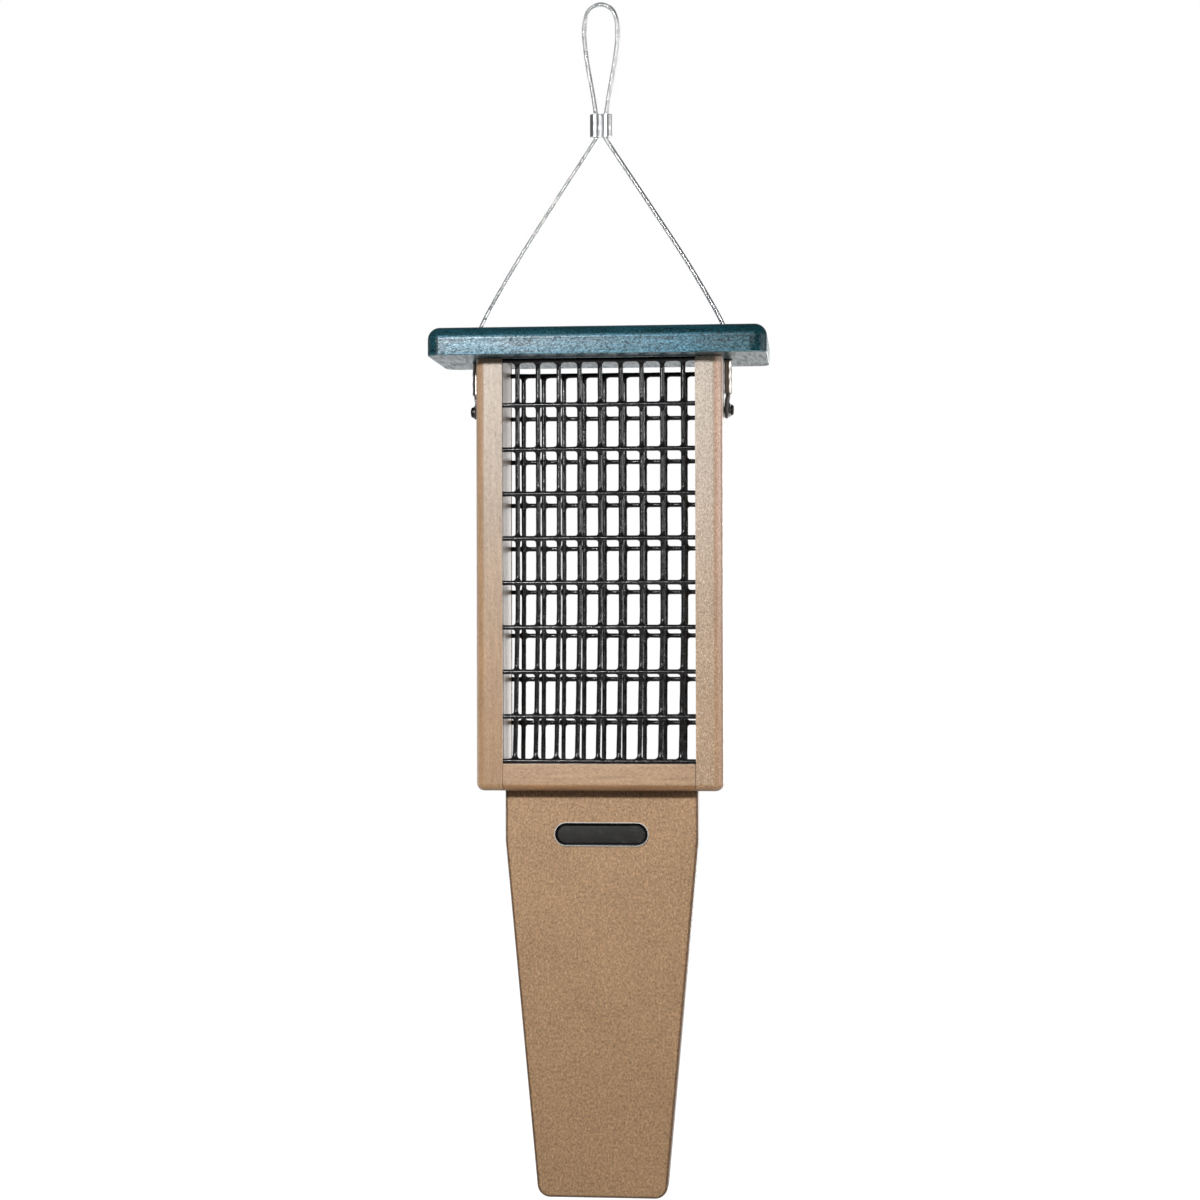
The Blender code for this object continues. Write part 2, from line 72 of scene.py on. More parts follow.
# Camera: almost square to the front, a little from the feeder's right and level with its middle
cameraSet = {
    "place": fromMm((135.16, -1507.9, -387.3)),
    "turnLeft": math.radians(5.172),
    "lookUp": math.radians(0.74),
    "roll": math.radians(-0.136),
    "lens": 73.5,
    "sensor": 36.0,
}


def placeCamera():
    data = bpy.data.cameras.new("studioCamera")
    data.lens, data.sensor_width = cameraSet["lens"], cameraSet["sensor"]
    camera = addObject("studioCamera", data)
    turn = Matrix.Rotation(cameraSet["turnLeft"], 4, "Z")
    tip = Matrix.Rotation(math.pi / 2 + cameraSet["lookUp"], 4, "X")
    roll = Matrix.Rotation(cameraSet["roll"], 4, "Z")
    camera.matrix_world = Matrix.Translation(cameraSet["place"]) @ turn @ tip @ roll
    bpy.context.scene.camera = camera


placeCamera()
print("camera placed")


# Node helpers: a socket is linked, and a plain value is set

def feed(tree, slot, value):
    if isinstance(value, bpy.types.NodeSocket):
        tree.links.new(value, slot)
    elif slot.type == "RGBA":
        slot.default_value = (*value, 1.0)
    else:
        slot.default_value = value


def feedInputs(tree, node, **values):
    for key, value in values.items():
        feed(tree, node.inputs[key.replace("_", " ")], value)


def addNode(tree, kind, **settings):
    node = tree.nodes.new(kind)
    for key, value in settings.items():
        if key.startswith("in_"):
            feedInputs(tree, node, **{key[3:]: value})
        else:
            setattr(node, key, value)
    return node


def mathNode(tree, operation, *values, clamp=False):
    node = addNode(tree, "ShaderNodeMath", operation=operation, use_clamp=clamp)
    for slot, value in zip(node.inputs, values):
        feed(tree, slot, value)
    return node.outputs[0]


def plus(tree, base, value, share):
    return mathNode(tree, "ADD", base, mathNode(tree, "MULTIPLY", value, share))


def vectorNode(tree, operation, first, second):
    node = addNode(tree, "ShaderNodeVectorMath", operation=operation)
    for slot, value in zip(node.inputs, (first, second)):
        feed(tree, slot, value)
    return node.outputs[0]


def noiseNode(tree, place, scale, detail, roughness, distortion=0.0):
    return addNode(
        tree, "ShaderNodeTexNoise", in_Vector=place, in_Scale=scale, in_Detail=detail, in_Roughness=roughness,
        in_Distortion=distortion,
    ).outputs[0]


def mixColour(tree, share, first, second):
    node = addNode(tree, "ShaderNodeMix", data_type="RGBA")
    for index, value in ((0, share), (6, first), (7, second)):
        feed(tree, node.inputs[index], value)
    return node.outputs[2]


def ramp(tree, factor, low, high):
    return addNode(
        tree, "ShaderNodeMapRange", interpolation_type="SMOOTHSTEP", in_Value=factor, in_From_Min=low, in_From_Max=high
    ).outputs["Result"]


def faceMark(tree, kind):
    return addNode(tree, "ShaderNodeAttribute", attribute_name=kind).outputs["Fac"]


# Node groups that several finishes share, both in the piece's own metres

def newGroup(name, takes, gives):
    group = bpy.data.node_groups.new(name, "ShaderNodeTree")
    for label, value in takes.items():
        kind = "NodeSocketFloat" if isinstance(value, float) else "NodeSocketVector"
        group.interface.new_socket(label, in_out="INPUT", socket_type=kind).default_value = value
    for label in gives:
        group.interface.new_socket(label, in_out="OUTPUT", socket_type="NodeSocketFloat")
    return group, group.nodes.new("NodeGroupInput").outputs, group.nodes.new("NodeGroupOutput")


# each texture: scale where it is fixed, then detail, roughness and distortion
fleckForm = {
    "drawn": 0.4,
    "pebble": (2.5, 0.6),
    "chip": (1.0, 0.5, 0.6),
    "chipScale": 1.3,
    "chipShift": (0.7, 0.3, 0.9),
    "streak": (520.0, 3.0, 0.6),
    "cloud": (30.0, 4.0, 0.55),
    "pale": (0.58, 0.68),
    "deep": (0.4, 0.3),
    "chipHeight": 0.6,
    "streakHeight": 0.4,
}


def makeFleckGroup():
    # speckle, pebbling and drawn-out streaks of extruded recycled plastic
    form = fleckForm
    takes = {"Place": (0.0, 0.0, 0.0), "Cell": 0.0013, "Along": (1.0, 1.0, 0.08)}
    gives = ("Fleck", "Dark", "Grain", "Streaks", "Height", "Cloud")
    group, given, end = newGroup("boardFlecks", takes, gives)
    place, along = given["Place"], given["Along"]
    scale = mathNode(group, "DIVIDE", 1.0, given["Cell"])
    drawn = addNode(group, "ShaderNodeMix", data_type="VECTOR")
    for index, value in ((0, form["drawn"]), (4, (1.0, 1.0, 1.0)), (5, along)):
        feed(group, drawn.inputs[index], value)
    grainPlace = vectorNode(group, "MULTIPLY", place, drawn.outputs[1])
    fine = noiseNode(group, grainPlace, scale, *form["pebble"])
    shifted = vectorNode(group, "ADD", grainPlace, form["chipShift"])
    chip = noiseNode(group, shifted, mathNode(group, "MULTIPLY", scale, form["chipScale"]), *form["chip"])
    streak = noiseNode(group, vectorNode(group, "MULTIPLY", place, along), *form["streak"])
    streaked = mathNode(group, "SUBTRACT", streak, 0.5)
    cloud = noiseNode(group, place, *form["cloud"])
    feedInputs(
        group, end,
        Fleck=ramp(group, chip, *form["pale"]),
        Dark=ramp(group, chip, *form["deep"]),
        Grain=mathNode(group, "SUBTRACT", fine, 0.5),
        Streaks=streaked,
        Height=plus(group, plus(group, fine, chip, form["chipHeight"]), streaked, form["streakHeight"]),
        Cloud=mathNode(group, "SUBTRACT", cloud, 0.5),
    )
    return group


scuffForm = {
    "size": 900.0,
    "stretch": (1.0, 1.0, 0.06),
    "line": (2.0, 0.7),
    "patch": (160.0, 4.0, 0.6),
    "scratched": (0.58, 0.7),
    "dusty": (0.5, 0.75),
}


def makeScuffGroup():
    # thin handling scratches and a little dust for metal and smooth plastic
    form = scuffForm
    takes = {"Place": (0.0, 0.0, 0.0), "Size": form["size"], "Stretch": form["stretch"]}
    group, given, end = newGroup("handlingScuffs", takes, ("Scratch", "Dust", "Height"))
    drawn = vectorNode(group, "MULTIPLY", given["Place"], given["Stretch"])
    line = noiseNode(group, drawn, given["Size"], *form["line"])
    patch = noiseNode(group, given["Place"], *form["patch"])
    feedInputs(
        group, end, Scratch=ramp(group, line, *form["scratched"]), Dust=ramp(group, patch, *form["dusty"]), Height=line
    )
    return group


fleckGroup = makeFleckGroup()
scuffGroup = makeScuffGroup()


def startMaterial(name):
    material = bpy.data.materials.new(name)
    material.use_nodes = True
    tree = material.node_tree
    return material, tree, tree.nodes["Principled BSDF"], tree.nodes.new("ShaderNodeTexCoord").outputs["Object"]


def bumpInto(tree, shader, height, strength, distance):
    bump = addNode(tree, "ShaderNodeBump", in_Strength=strength, in_Distance=distance, in_Height=height)
    feedInputs(tree, shader, Normal=bump.outputs[0])


# Recycled plastic boards: a pale, pebbled skin on the flat faces and a smoother, deeper colour where a router cut
faceKinds = ("routed", "arris", "paintedUnderside")
taupeBoard = {
    "skin": (0.41, 0.248, 0.131),
    "cut": (0.385, 0.226, 0.115),
    "fleck": (0.56, 0.41, 0.27),
    "dark": (0.21, 0.115, 0.06),
    # pale eased edges, a painted highlight along them
    "arris": (0.62, 0.48, 0.35),
    "paintedLightTone": (0.32, 0.32, 0.275),
    "cutPaintedLightTone": (0.52, 0.34, 0.23),
    "paintedLightShare": 0.0, "fade": ("Z", -0.45, -0.22),
    "fleckShare": 0.4, "darkShare": 0.45, "arrisShare": 0.6,
    "cell": 0.0013, "grain": 0.8, "streak": 0.3, "cloud": 0.3,
    "specular": 0.5, "roughness": 0.395, "darkDull": 0.12,
    "haze": 0.3, "cutHaze": 0.4, "hazeGrain": 3.5,
    "relief": 0.22, "pebble": 0.25 * mm,
}
uprightBoard = {
    **taupeBoard,
    "skin": (0.385, 0.232, 0.123),
    # the side boards' rounded edges are painted paler than their faces, painted light on them
    "cut": (0.44, 0.268, 0.145),
    # a painted sheen pales these boards towards their tops
    "paintedLightShare": 0.4, "fleckShare": 0.25, "darkShare": 0.3,
    "haze": 0.27, "grain": 0.5, "streak": 0.6,
}
# the right side board: its finer, paler flecks and extra haze are its own, and its paler colour is a painted sheen
frostedBoard = {
    **uprightBoard,
    "skin": (0.42, 0.268, 0.153),
    "cut": (0.42, 0.245, 0.138),
    "fleck": (0.72, 0.62, 0.5),
    "paintedLightTone": (0.43, 0.39, 0.335),
    "cutPaintedLightTone": (0.66, 0.43, 0.34),
    "paintedLightShare": 0.55, "fleckShare": 0.7, "darkShare": 0.45,
    "cell": 0.0009, "grain": 1.6, "streak": 0.3, "haze": 0.6,
}
floorPlastic = {
    **taupeBoard,
    "skin": (0.445, 0.279, 0.16),
    "cut": (0.35, 0.182, 0.082),
    "grain": 0.6, "streak": 0.7, "fleckShare": 0.3,
}
tailPlastic = {
    **taupeBoard,
    "cut": (0.16, 0.088, 0.046),
    "cell": 0.0012, "grain": 1.8, "fleckShare": 0.45, "darkShare": 0.35, "roughness": 0.36, "haze": 0.15,
}
greenBoard = {
    **taupeBoard,
    "skin": (0.008, 0.132, 0.205),
    "cut": (0.009, 0.05, 0.064),
    "fleck": (0.08, 0.26, 0.35),
    "dark": (0.002, 0.036, 0.056),
    "arris": (0.16, 0.3, 0.35),
    "paintedLightTone": (0.004, 0.075, 0.105),
    "cutPaintedLightTone": (0.004, 0.034, 0.042),
    # painted shade darkens the roof towards its right end
    "paintedLightShare": 1.0, "fade": ("X", 0.05, 0.09),
    "fleckShare": 0.7, "darkShare": 0.5,
    "cell": 0.00085, "grain": 3.4, "streak": 1.8, "cloud": 0.8,
    "specular": 0.14, "roughness": 0.3,
    "haze": 0.5, "cutHaze": 0.2, "hazeGrain": 5.0,
    "relief": 1.0,
}
# painted reflection on the roof's underside: pale grey, dull patches
paintedUnderside = {
    "marks": (400.0, 50.0, 400.0), "patch": (1.0, 3.0, 0.65), "bare": (0.48, 0.62),
    "tone": (0.3, 0.33, 0.31), "share": 0.5, "dull": 0.5,
}


def boardPlastic(name, look, along):
    material, tree, shader, place = startMaterial(name)
    flecks = addNode(
        tree, "ShaderNodeGroup", node_tree=fleckGroup, in_Place=place, in_Cell=look["cell"], in_Along=along
    ).outputs
    routed, arris, paintedUndersideFace = [faceMark(tree, kind) for kind in faceKinds]

    def times(first, second, clamp=False):
        return mathNode(tree, "MULTIPLY", first, second, clamp=clamp)

    def layer(base, mask, share, tone):
        return mixColour(tree, times(mask, share), base, tone)

    skinShare = mathNode(tree, "SUBTRACT", 1.0, routed, clamp=True)
    speckled = mathNode(tree, "MULTIPLY_ADD", skinShare, 1.0 - look["cutHaze"], look["cutHaze"])
    base = mixColour(tree, skinShare, look["cut"], look["skin"])
    base = layer(base, flecks["Fleck"], times(speckled, look["fleckShare"]), look["fleck"])
    # painted light grows towards one end of the board: a painted sheen pales the side boards towards their tops, and
    # painted shade darkens the roof towards its right end
    axis, none, full = look["fade"]
    paintedLightMask = ramp(tree, addNode(tree, "ShaderNodeSeparateXYZ", in_Vector=place).outputs[axis], none, full)
    base = layer(base, paintedLightMask, look["paintedLightShare"], mixColour(tree, skinShare, look["cutPaintedLightTone"], look["paintedLightTone"]))
    base = layer(base, flecks["Dark"], look["darkShare"], look["dark"])
    # painted highlight: the eased edges are painted pale
    base = layer(base, arris, look["arrisShare"], look["arris"])
    tone = times(flecks["Streaks"], look["streak"])
    tone = plus(tree, tone, flecks["Cloud"], look["cloud"])
    tone = plus(tree, tone, flecks["Grain"], look["grain"])
    # the roof's underside is painted pale in patches, a painted reflection, and is duller there
    marks = noiseNode(tree, vectorNode(tree, "MULTIPLY", place, paintedUnderside["marks"]), *paintedUnderside["patch"])
    dull = times(paintedUndersideFace, ramp(tree, marks, *paintedUnderside["bare"]))
    base = layer(base, dull, paintedUnderside["share"], paintedUnderside["tone"])
    value = addNode(tree, "ShaderNodeHueSaturation", in_Value=mathNode(tree, "ADD", tone, 1.0), in_Color=base)
    rough = mathNode(tree, "MULTIPLY_ADD", flecks["Dark"], look["darkDull"], look["roughness"])
    hazy = mathNode(tree, "MULTIPLY_ADD", flecks["Grain"], look["hazeGrain"], 1.0)
    feedInputs(
        tree, shader, Base_Color=value.outputs[0], Roughness=plus(tree, rough, dull, paintedUnderside["dull"]),
        Coat_Weight=times(hazy, times(speckled, look["haze"]), clamp=True), Coat_Roughness=look["roughness"],
        Specular_IOR_Level=look["specular"],
    )
    bumpInto(tree, shader, flecks["Height"], look["relief"], look["pebble"])
    return material


taupeUpright = boardPlastic("taupeUprightPlastic", uprightBoard, (1.0, 1.0, 0.06))
taupeFrosted = boardPlastic("taupeFrostedPlastic", frostedBoard, (1.0, 1.0, 0.06))
taupeAcross = boardPlastic("taupeCrossPlastic", floorPlastic, (0.06, 1.0, 1.0))
taupeTail = boardPlastic("taupeTailPlastic", tailPlastic, (1.0, 1.0, 0.4))
greenAcross = boardPlastic("greenRoofPlastic", greenBoard, (0.06, 1.0, 1.0))


def scuffsOn(tree, place, stretch=scuffForm["stretch"], size=scuffForm["size"]):
    return addNode(
        tree, "ShaderNodeGroup", node_tree=scuffGroup, in_Place=place, in_Stretch=stretch, in_Size=size
    ).outputs


# Black vinyl dip on the welded wire
vinyl = {
    "colour": (0.0065, 0.0065, 0.0075), "dusty": (0.015, 0.015, 0.017), "roughness": 0.24, "dustDull": 0.12,
    "ripple": (330.0, 2.0, 0.5), "relief": (0.35, 0.6 * mm),
}


def blackVinyl():
    material, tree, shader, place = startMaterial("blackVinylDip")
    dust = scuffsOn(tree, place)["Dust"]
    feedInputs(
        tree, shader, Base_Color=mixColour(tree, dust, vinyl["colour"], vinyl["dusty"]),
        Roughness=mathNode(tree, "MULTIPLY_ADD", dust, vinyl["dustDull"], vinyl["roughness"]),
    )
    bumpInto(tree, shader, noiseNode(tree, place, *vinyl["ripple"]), *vinyl["relief"])
    return material


# Bare metals, with painted shade down in the grooves between the cable's strands
metalWear = {"grooveShade": (0.24, 0.24, 0.245), "dustWorn": 0.5, "dustDull": 0.18, "relief": (0.12, 0.1 * mm)}
alongCable, cableScratch = (1.0, 1.0, 0.3), 2600.0
alongSleeve, acrossScrew = (1.0, 1.0, 0.05), (0.3, 1.0, 1.0)


def bareMetal(name, colour, worn, roughness, stretch, size=scuffForm["size"], coat=0.0):
    material, tree, shader, place = startMaterial(name)
    scuffs = scuffsOn(tree, place, stretch, size)
    dustWorn = mathNode(tree, "MULTIPLY", scuffs["Dust"], metalWear["dustWorn"])
    tone = mathNode(tree, "ADD", scuffs["Scratch"], dustWorn, clamp=True)
    clean = mixColour(tree, tone, colour, worn)
    feedInputs(
        tree, shader, Base_Color=mixColour(tree, faceMark(tree, "groove"), clean, metalWear["grooveShade"]),
        Metallic=1.0, Coat_Weight=coat,
        Roughness=mathNode(tree, "MULTIPLY_ADD", scuffs["Dust"], metalWear["dustDull"], roughness),
    )
    bumpInto(tree, shader, scuffs["Height"], *metalWear["relief"])
    return material


vinylBlack = blackVinyl()
cableSteel = bareMetal(
    "drawnCableSteel", (0.9, 0.905, 0.92), (0.65, 0.65, 0.66), 0.26, alongCable, cableScratch, 0.25
)
# darker copies of the cable, sleeve, washer and screw metals for the cable's ends, side sleeves, washers and eye
# screws, painted shade where they sit beside the side boards
paintedShadeCable = bareMetal(
    "paintedShadeCableSteel", (0.17, 0.16, 0.155), (0.08, 0.075, 0.07), 0.36, alongCable, cableScratch
)
pressedAluminium = bareMetal("pressedAluminium", (0.84, 0.85, 0.86), (0.64, 0.64, 0.65), 0.28, alongSleeve)
paintedShadeAluminium = bareMetal("paintedShadeAluminium", (0.34, 0.31, 0.28), (0.2, 0.17, 0.15), 0.3, alongSleeve)
paintedShadeZinc = bareMetal("paintedShadeZinc", (0.1, 0.095, 0.09), (0.18, 0.17, 0.16), 0.4, alongCable)
screwSteel = bareMetal("screwSteel", (0.34, 0.335, 0.33), (0.18, 0.17, 0.16), 0.32, acrossScrew)
paintedShadeSteel = bareMetal("paintedShadeSteel", (0.03, 0.028, 0.026), (0.09, 0.085, 0.08), 0.4, acrossScrew)


# The bare plate: black enamel face and a darker ring inside a thin pale rim
plateWear = {"stretch": (0.1, 1.0, 1.0), "scratchDull": 0.15, "relief": (0.08, 0.1 * mm)}


def plateFinish(name, colour, dusty, roughness, specular=0.5):
    material, tree, shader, place = startMaterial(name)
    scuffs = scuffsOn(tree, place, plateWear["stretch"])
    feedInputs(
        tree, shader, Specular_IOR_Level=specular, Base_Color=mixColour(tree, scuffs["Dust"], colour, dusty),
        Roughness=mathNode(tree, "MULTIPLY_ADD", scuffs["Scratch"], plateWear["scratchDull"], roughness),
    )
    bumpInto(tree, shader, scuffs["Height"], *plateWear["relief"])
    return material


plateBlack = plateFinish("plateBlackEnamel", (0.012, 0.011, 0.010), (0.026, 0.025, 0.023), 0.33)
plateRing = plateFinish("plateDarkRing", (0.002, 0.002, 0.002), (0.005, 0.005, 0.0045), 0.25, 0.15)
plateRim = plateFinish("platePaleRim", (0.58, 0.55, 0.5), (0.46, 0.43, 0.38), 0.4)
print("finishes made")


# Shaping helpers

onFaceWithin = 0.02 * mm
flatFace = 0.999
turnForFull = 0.045
patchForm = {"cuts": 7, "inset": 0.3, "found": 0.1 * mm, "facing": 0.99}


def linkPiece(name, mesh, materials):
    piece = addObject(name, mesh)
    for each in materials:
        mesh.materials.append(each)
    return piece


def settle(piece, body, slot, *nodes):
    if body:
        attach(piece, body)
    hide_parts(*nodes)
    return piece


def finishPiece(bm, name, sharp, materials, body, slot, node):
    bmesh.ops.remove_doubles(bm, verts=bm.verts, dist=0.001 * mm)
    bmesh.ops.recalc_face_normals(bm, faces=bm.faces)
    mesh = bpy.data.meshes.new(name)
    bm.to_mesh(mesh)
    bm.free()
    mesh.shade_smooth()
    mesh.set_sharp_from_angle(angle=math.radians(sharp))
    return settle(linkPiece(name, mesh, materials), body, slot, node)


def finishBoard(bm, name, material, body, slot, node):
    piece = finishPiece(bm, name, 50, [material], body, slot, node)
    even = piece.modifiers.new("evenShade", "WEIGHTED_NORMAL")
    even.keep_sharp = True
    even.weight = 90


def block(low, high):
    bm = bmesh.new()
    bmesh.ops.create_cube(bm, size=1.0)
    low, high = Vector(low), Vector(high)
    bmesh.ops.scale(bm, vec=high - low, verts=bm.verts)
    bmesh.ops.translate(bm, vec=(low + high) / 2, verts=bm.verts)
    for kind in faceKinds:
        bm.faces.layers.float.new(kind)
    return bm


def onPlane(item, axis, value):
    return all(abs(vert.co[axis] - value) < onFaceWithin for vert in item.verts)


def onEither(item, axis, value):
    return onPlane(item, axis, value) or onPlane(item, axis, -value)


def middle(face):
    return face.calc_center_median()


def mark(bm, faces, kind, share=1.0):
    layer = bm.faces.layers.float.get(kind)
    if layer:
        for face in faces:
            face[layer] = share


def dropFaces(bm, faces):
    bmesh.ops.delete(bm, geom=[face for face in faces if face.is_valid], context="FACES_ONLY")


def extrude(bm, faces, move=None, keep=False):
    # draws new faces off the old ones, and hands back the new faces and their corners
    made = bmesh.ops.extrude_face_region(bm, geom=faces)["geom"]
    fresh = [item for item in made if isinstance(item, bmesh.types.BMFace)]
    verts = [item for item in made if isinstance(item, bmesh.types.BMVert)]
    if move:
        bmesh.ops.translate(bm, vec=move, verts=verts)
    if not keep:
        dropFaces(bm, faces)
    return fresh, verts


def roundOver(bm, edges, radius, segments, kind="routed"):
    made = bmesh.ops.bevel(
        bm, geom=edges, offset=radius, offset_type="OFFSET", affect="EDGES", segments=segments, profile=0.5,
        material=-1, clamp_overlap=True,
    )
    # the deeper colour comes in over the first turns of a rounded edge
    bm.normal_update()
    for face in made["faces"]:
        turned = 1.0 - max(abs(part) for part in face.normal)
        mark(bm, [face], kind, min(1.0, turned / turnForFull))


def cutAcross(bm, axis, value, keep=None):
    normal, spot = Vector((0.0, 0.0, 0.0)), Vector((0.0, 0.0, 0.0))
    normal[axis], spot[axis] = 1.0, value
    geom = bm.verts[:] + bm.edges[:] + bm.faces[:]
    if keep:
        faces = [face for face in bm.faces if keep(face)]
        geom = list({v for f in faces for v in f.verts}) + list({e for f in faces for e in f.edges}) + faces
    bmesh.ops.bisect_plane(bm, geom=geom, plane_co=spot, plane_no=normal, dist=0.0005 * mm)


def roundPatch(bm, centre, axis, facing, radius, room=1.5):
    # marks a round face on a flat side of a board, ready to be bored or sunk
    sides = [a for a in range(3) if a != axis]
    centre = Vector(centre)

    def onFace(face):
        return face.normal[axis] * facing > patchForm["facing"] and onPlane(face, axis, centre[axis])

    def smallest():
        found = []
        for face in bm.faces:
            if onFace(face) and all(abs(middle(face)[a] - centre[a]) < patchForm["found"] for a in sides):
                found.append(face)
        return min(found, key=lambda face: face.calc_area())

    for a in sides:
        for step in (-1, 1):
            cutAcross(bm, a, centre[a] + step * radius * room, onFace)
    bmesh.ops.subdivide_edges(bm, edges=smallest().edges[:], cuts=patchForm["cuts"])
    patch = smallest()
    bmesh.ops.inset_region(bm, faces=[patch], thickness=radius * patchForm["inset"], use_even_offset=True)
    for vert in patch.verts:
        spoke = vert.co - centre
        spoke[axis] = 0.0
        vert.co = centre + spoke.normalized() * radius
        vert.co[axis] = centre[axis]
    return patch


def sink(bm, patch, axis, facing, depth, shrink):
    # pushes a marked face into the board, and hands back the floor of the pit
    centre = middle(patch)
    floors, verts = extrude(bm, [patch])
    move = Vector((0.0, 0.0, 0.0))
    move[axis] = -facing * depth
    for vert in verts:
        vert.co = centre + (vert.co - centre) * shrink + move
    mark(bm, {face for edge in floors[0].edges for face in edge.link_faces}, "routed")
    return floors[0]


# Steel cable: six strands laid round a core, all in one mesh that follows the route

cable = fromMm({"diameter": 2.8, "lay": 10, "trace": 0.4, "step": 0.75, "groove": (1.3, 0.95)})
cable |= {"strands": 6, "strandRound": 2}


def smoothRoute(points, spacing):
    points = [Vector(point) for point in points]
    ends = [2 * points[0] - points[1]] + points + [2 * points[-1] - points[-2]]
    route = [points[0]]
    for before, start, end, after in zip(ends, ends[1:], ends[2:], ends[3:]):
        steps = max(1, round((end - start).length / spacing))
        for step in range(1, steps + 1):
            t = step / steps
            bend = 2 * before - 5 * start + 4 * end - after
            twist = 3 * start - before - 3 * end + after
            route.append((2 * start + (end - before) * t + bend * t**2 + twist * t**3) / 2)
    return route


def routeLength(route):
    return sum((b - a).length for a, b in zip(route, route[1:]))


def evenRoute(points, spacing):
    # points exactly spacing apart along a polyline, both ends kept
    total = routeLength(points)
    count = max(2, round(total / spacing))
    route, walked, index = [points[0].copy()], 0.0, 0
    for i in range(1, count):
        goal = total * i / count
        while walked + (points[index + 1] - points[index]).length < goal:
            walked += (points[index + 1] - points[index]).length
            index += 1
        run = points[index + 1] - points[index]
        route.append(points[index] + run * ((goal - walked) / run.length))
    return route + [points[-1].copy()]


def strandLines(route, tangents, around):
    across = tangents[0].orthogonal().normalized()
    lines = [[] for _ in range(cable["strands"])]
    walked = 0.0
    for i, (point, tangent) in enumerate(zip(route, tangents)):
        if i:
            walked += (point - route[i - 1]).length
            across = tangents[i - 1].rotation_difference(tangent) @ across
        across = (across - tangent * across.dot(tangent)).normalized()
        upward = tangent.cross(across)
        for k in range(cable["strands"]):
            angle = math.tau * (k / cable["strands"] + walked / cable["lay"])
            lines[k].append(point + (across * math.cos(angle) + upward * math.sin(angle)) * around)
    return lines + [route]


def layCable(name, points, metal):
    route = evenRoute(smoothRoute(points, cable["trace"]), cable["step"])
    strand = cable["diameter"] / 6
    tangents = []
    for i in range(len(route)):
        tangents.append((route[min(i + 1, len(route) - 1)] - route[max(i - 1, 0)]).normalized())
    data = bpy.data.curves.new(name, "CURVE")
    data.dimensions = "3D"
    data.bevel_depth = strand
    data.bevel_resolution = cable["strandRound"]
    data.use_fill_caps = True
    for line in strandLines(route, tangents, cable["diameter"] / 2 - strand):
        spline = data.splines.new("POLY")
        spline.points.add(len(line) - 1)
        for knot, spot in zip(spline.points, line):
            knot.co = (*spot, 1.0)
    mesh = bakedMesh(addObject(name, data))
    mesh.name = name
    mesh.shade_smooth()
    finder = kdtree.KDTree(len(route))
    for index, point in enumerate(route):
        finder.insert(point, index)
    finder.balance()
    # how deep in a groove each point lies, for the painted shade there
    outer, inner = cable["groove"]
    groove = mesh.attributes.new("groove", "FLOAT", "POINT")
    for vert, share in zip(mesh.vertices, groove.data):
        index = finder.find(vert.co)[1]
        out = vert.co - route[index]
        far = (out - tangents[index] * out.dot(tangents[index])).length
        share.value = min(1.0, max(0.0, (outer - far) / (outer - inner)))
    mesh.materials.clear()
    return linkPiece(name, mesh, [metal]), route


def bakedMesh(maker):
    # the finished form of a helper object, which is then taken away
    graph = bpy.context.evaluated_depsgraph_get()
    mesh = bpy.data.meshes.new_from_object(maker.evaluated_get(graph))
    bpy.data.objects.remove(maker, do_unlink=True)
    return mesh


hanging = fromMm({
    "ferruleTop": -67.0, "ferruleFoot": -81.3, "strandX": 3.25, "crown": 1.4, "halfWidth": 10.4,
    "roofTop": -202.3, "footX": 76.35,
})
hanging |= {
    # shares of the half width and of the height, up one side of the loop
    "loopSweep": (
        (0.31, 0.0), (0.42, 0.125), (0.62, 0.3), (0.84, 0.49),
        (0.97, 0.665), (0.995, 0.757), (0.93, 0.86), (0.654, 0.955),
    ),
    # shares of the way inwards and of the rise, up one leg
    "legSweep": ((0.0, 0.0), (0.092, 0.114), (0.335, 0.37), (0.657, 0.677), (1.0, 1.0)),
}


def hangingLoop():
    top, foot, crown = hanging["ferruleTop"], hanging["ferruleFoot"], hanging["crown"]
    half = [(hanging["strandX"], foot), (hanging["strandX"], (top + foot) / 2)]
    half += [(share * hanging["halfWidth"], top + (crown - top) * rise) for share, rise in hanging["loopSweep"]]
    points = [(-x, 0.0, z) for x, z in half] + [(0.0, 0.0, crown)] + [(x, 0.0, z) for x, z in reversed(half)]
    piece, route = layCable("hangingLoop", points, cableSteel)
    return settle(piece, "hanger", "steel_cable", "hanging_loop_cable"), route


def slantingLeg(side, sign):
    radius = cable["diameter"] / 2
    foot, head = hanging["roofTop"] + radius, hanging["ferruleFoot"] - radius
    points = [(sign * hanging["footX"], 0.0, hanging["roofTop"])]
    for inward, rise in hanging["legSweep"]:
        x = hanging["footX"] + (hanging["strandX"] - hanging["footX"]) * inward
        points.append((sign * x, 0.0, foot + (head - foot) * rise))
    points.append((sign * hanging["strandX"], 0.0, hanging["ferruleFoot"]))
    piece, route = layCable(f"{side}CableLeg", points, cableSteel)
    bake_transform(piece)
    return settle(piece, None, "steel_cable", f"{side}_cable_leg"), route


loopPiece, loopRoute = hangingLoop()
legs = [slantingLeg(side, sign) for side, sign in handed]


# The cable's ends: through the roof's hole, down through the side ferrule, round the screw and back up

cableEnd = fromMm({
    "ferruleX": 78.15, "ferruleTop": -220.2, "ferruleFoot": -240.8, "deadDrop": 1.5, "strandLift": 0.3,
    "holeX": 77.25, "roofFoot": -219.8, "blendFoot": -219.9, "liveY": 0.0, "deadY": 3.2,
    "eyeX": 77.2, "eyeY": 1.6, "eyeZ": -250.9, "eyeRadius": 3.9, "neckX": 77.675, "neckY": 2.418, "neckZ": -244.234,
})
cableEnd |= {"turnStart": 12.0, "turnSweep": 204.0, "turnSteps": 8}


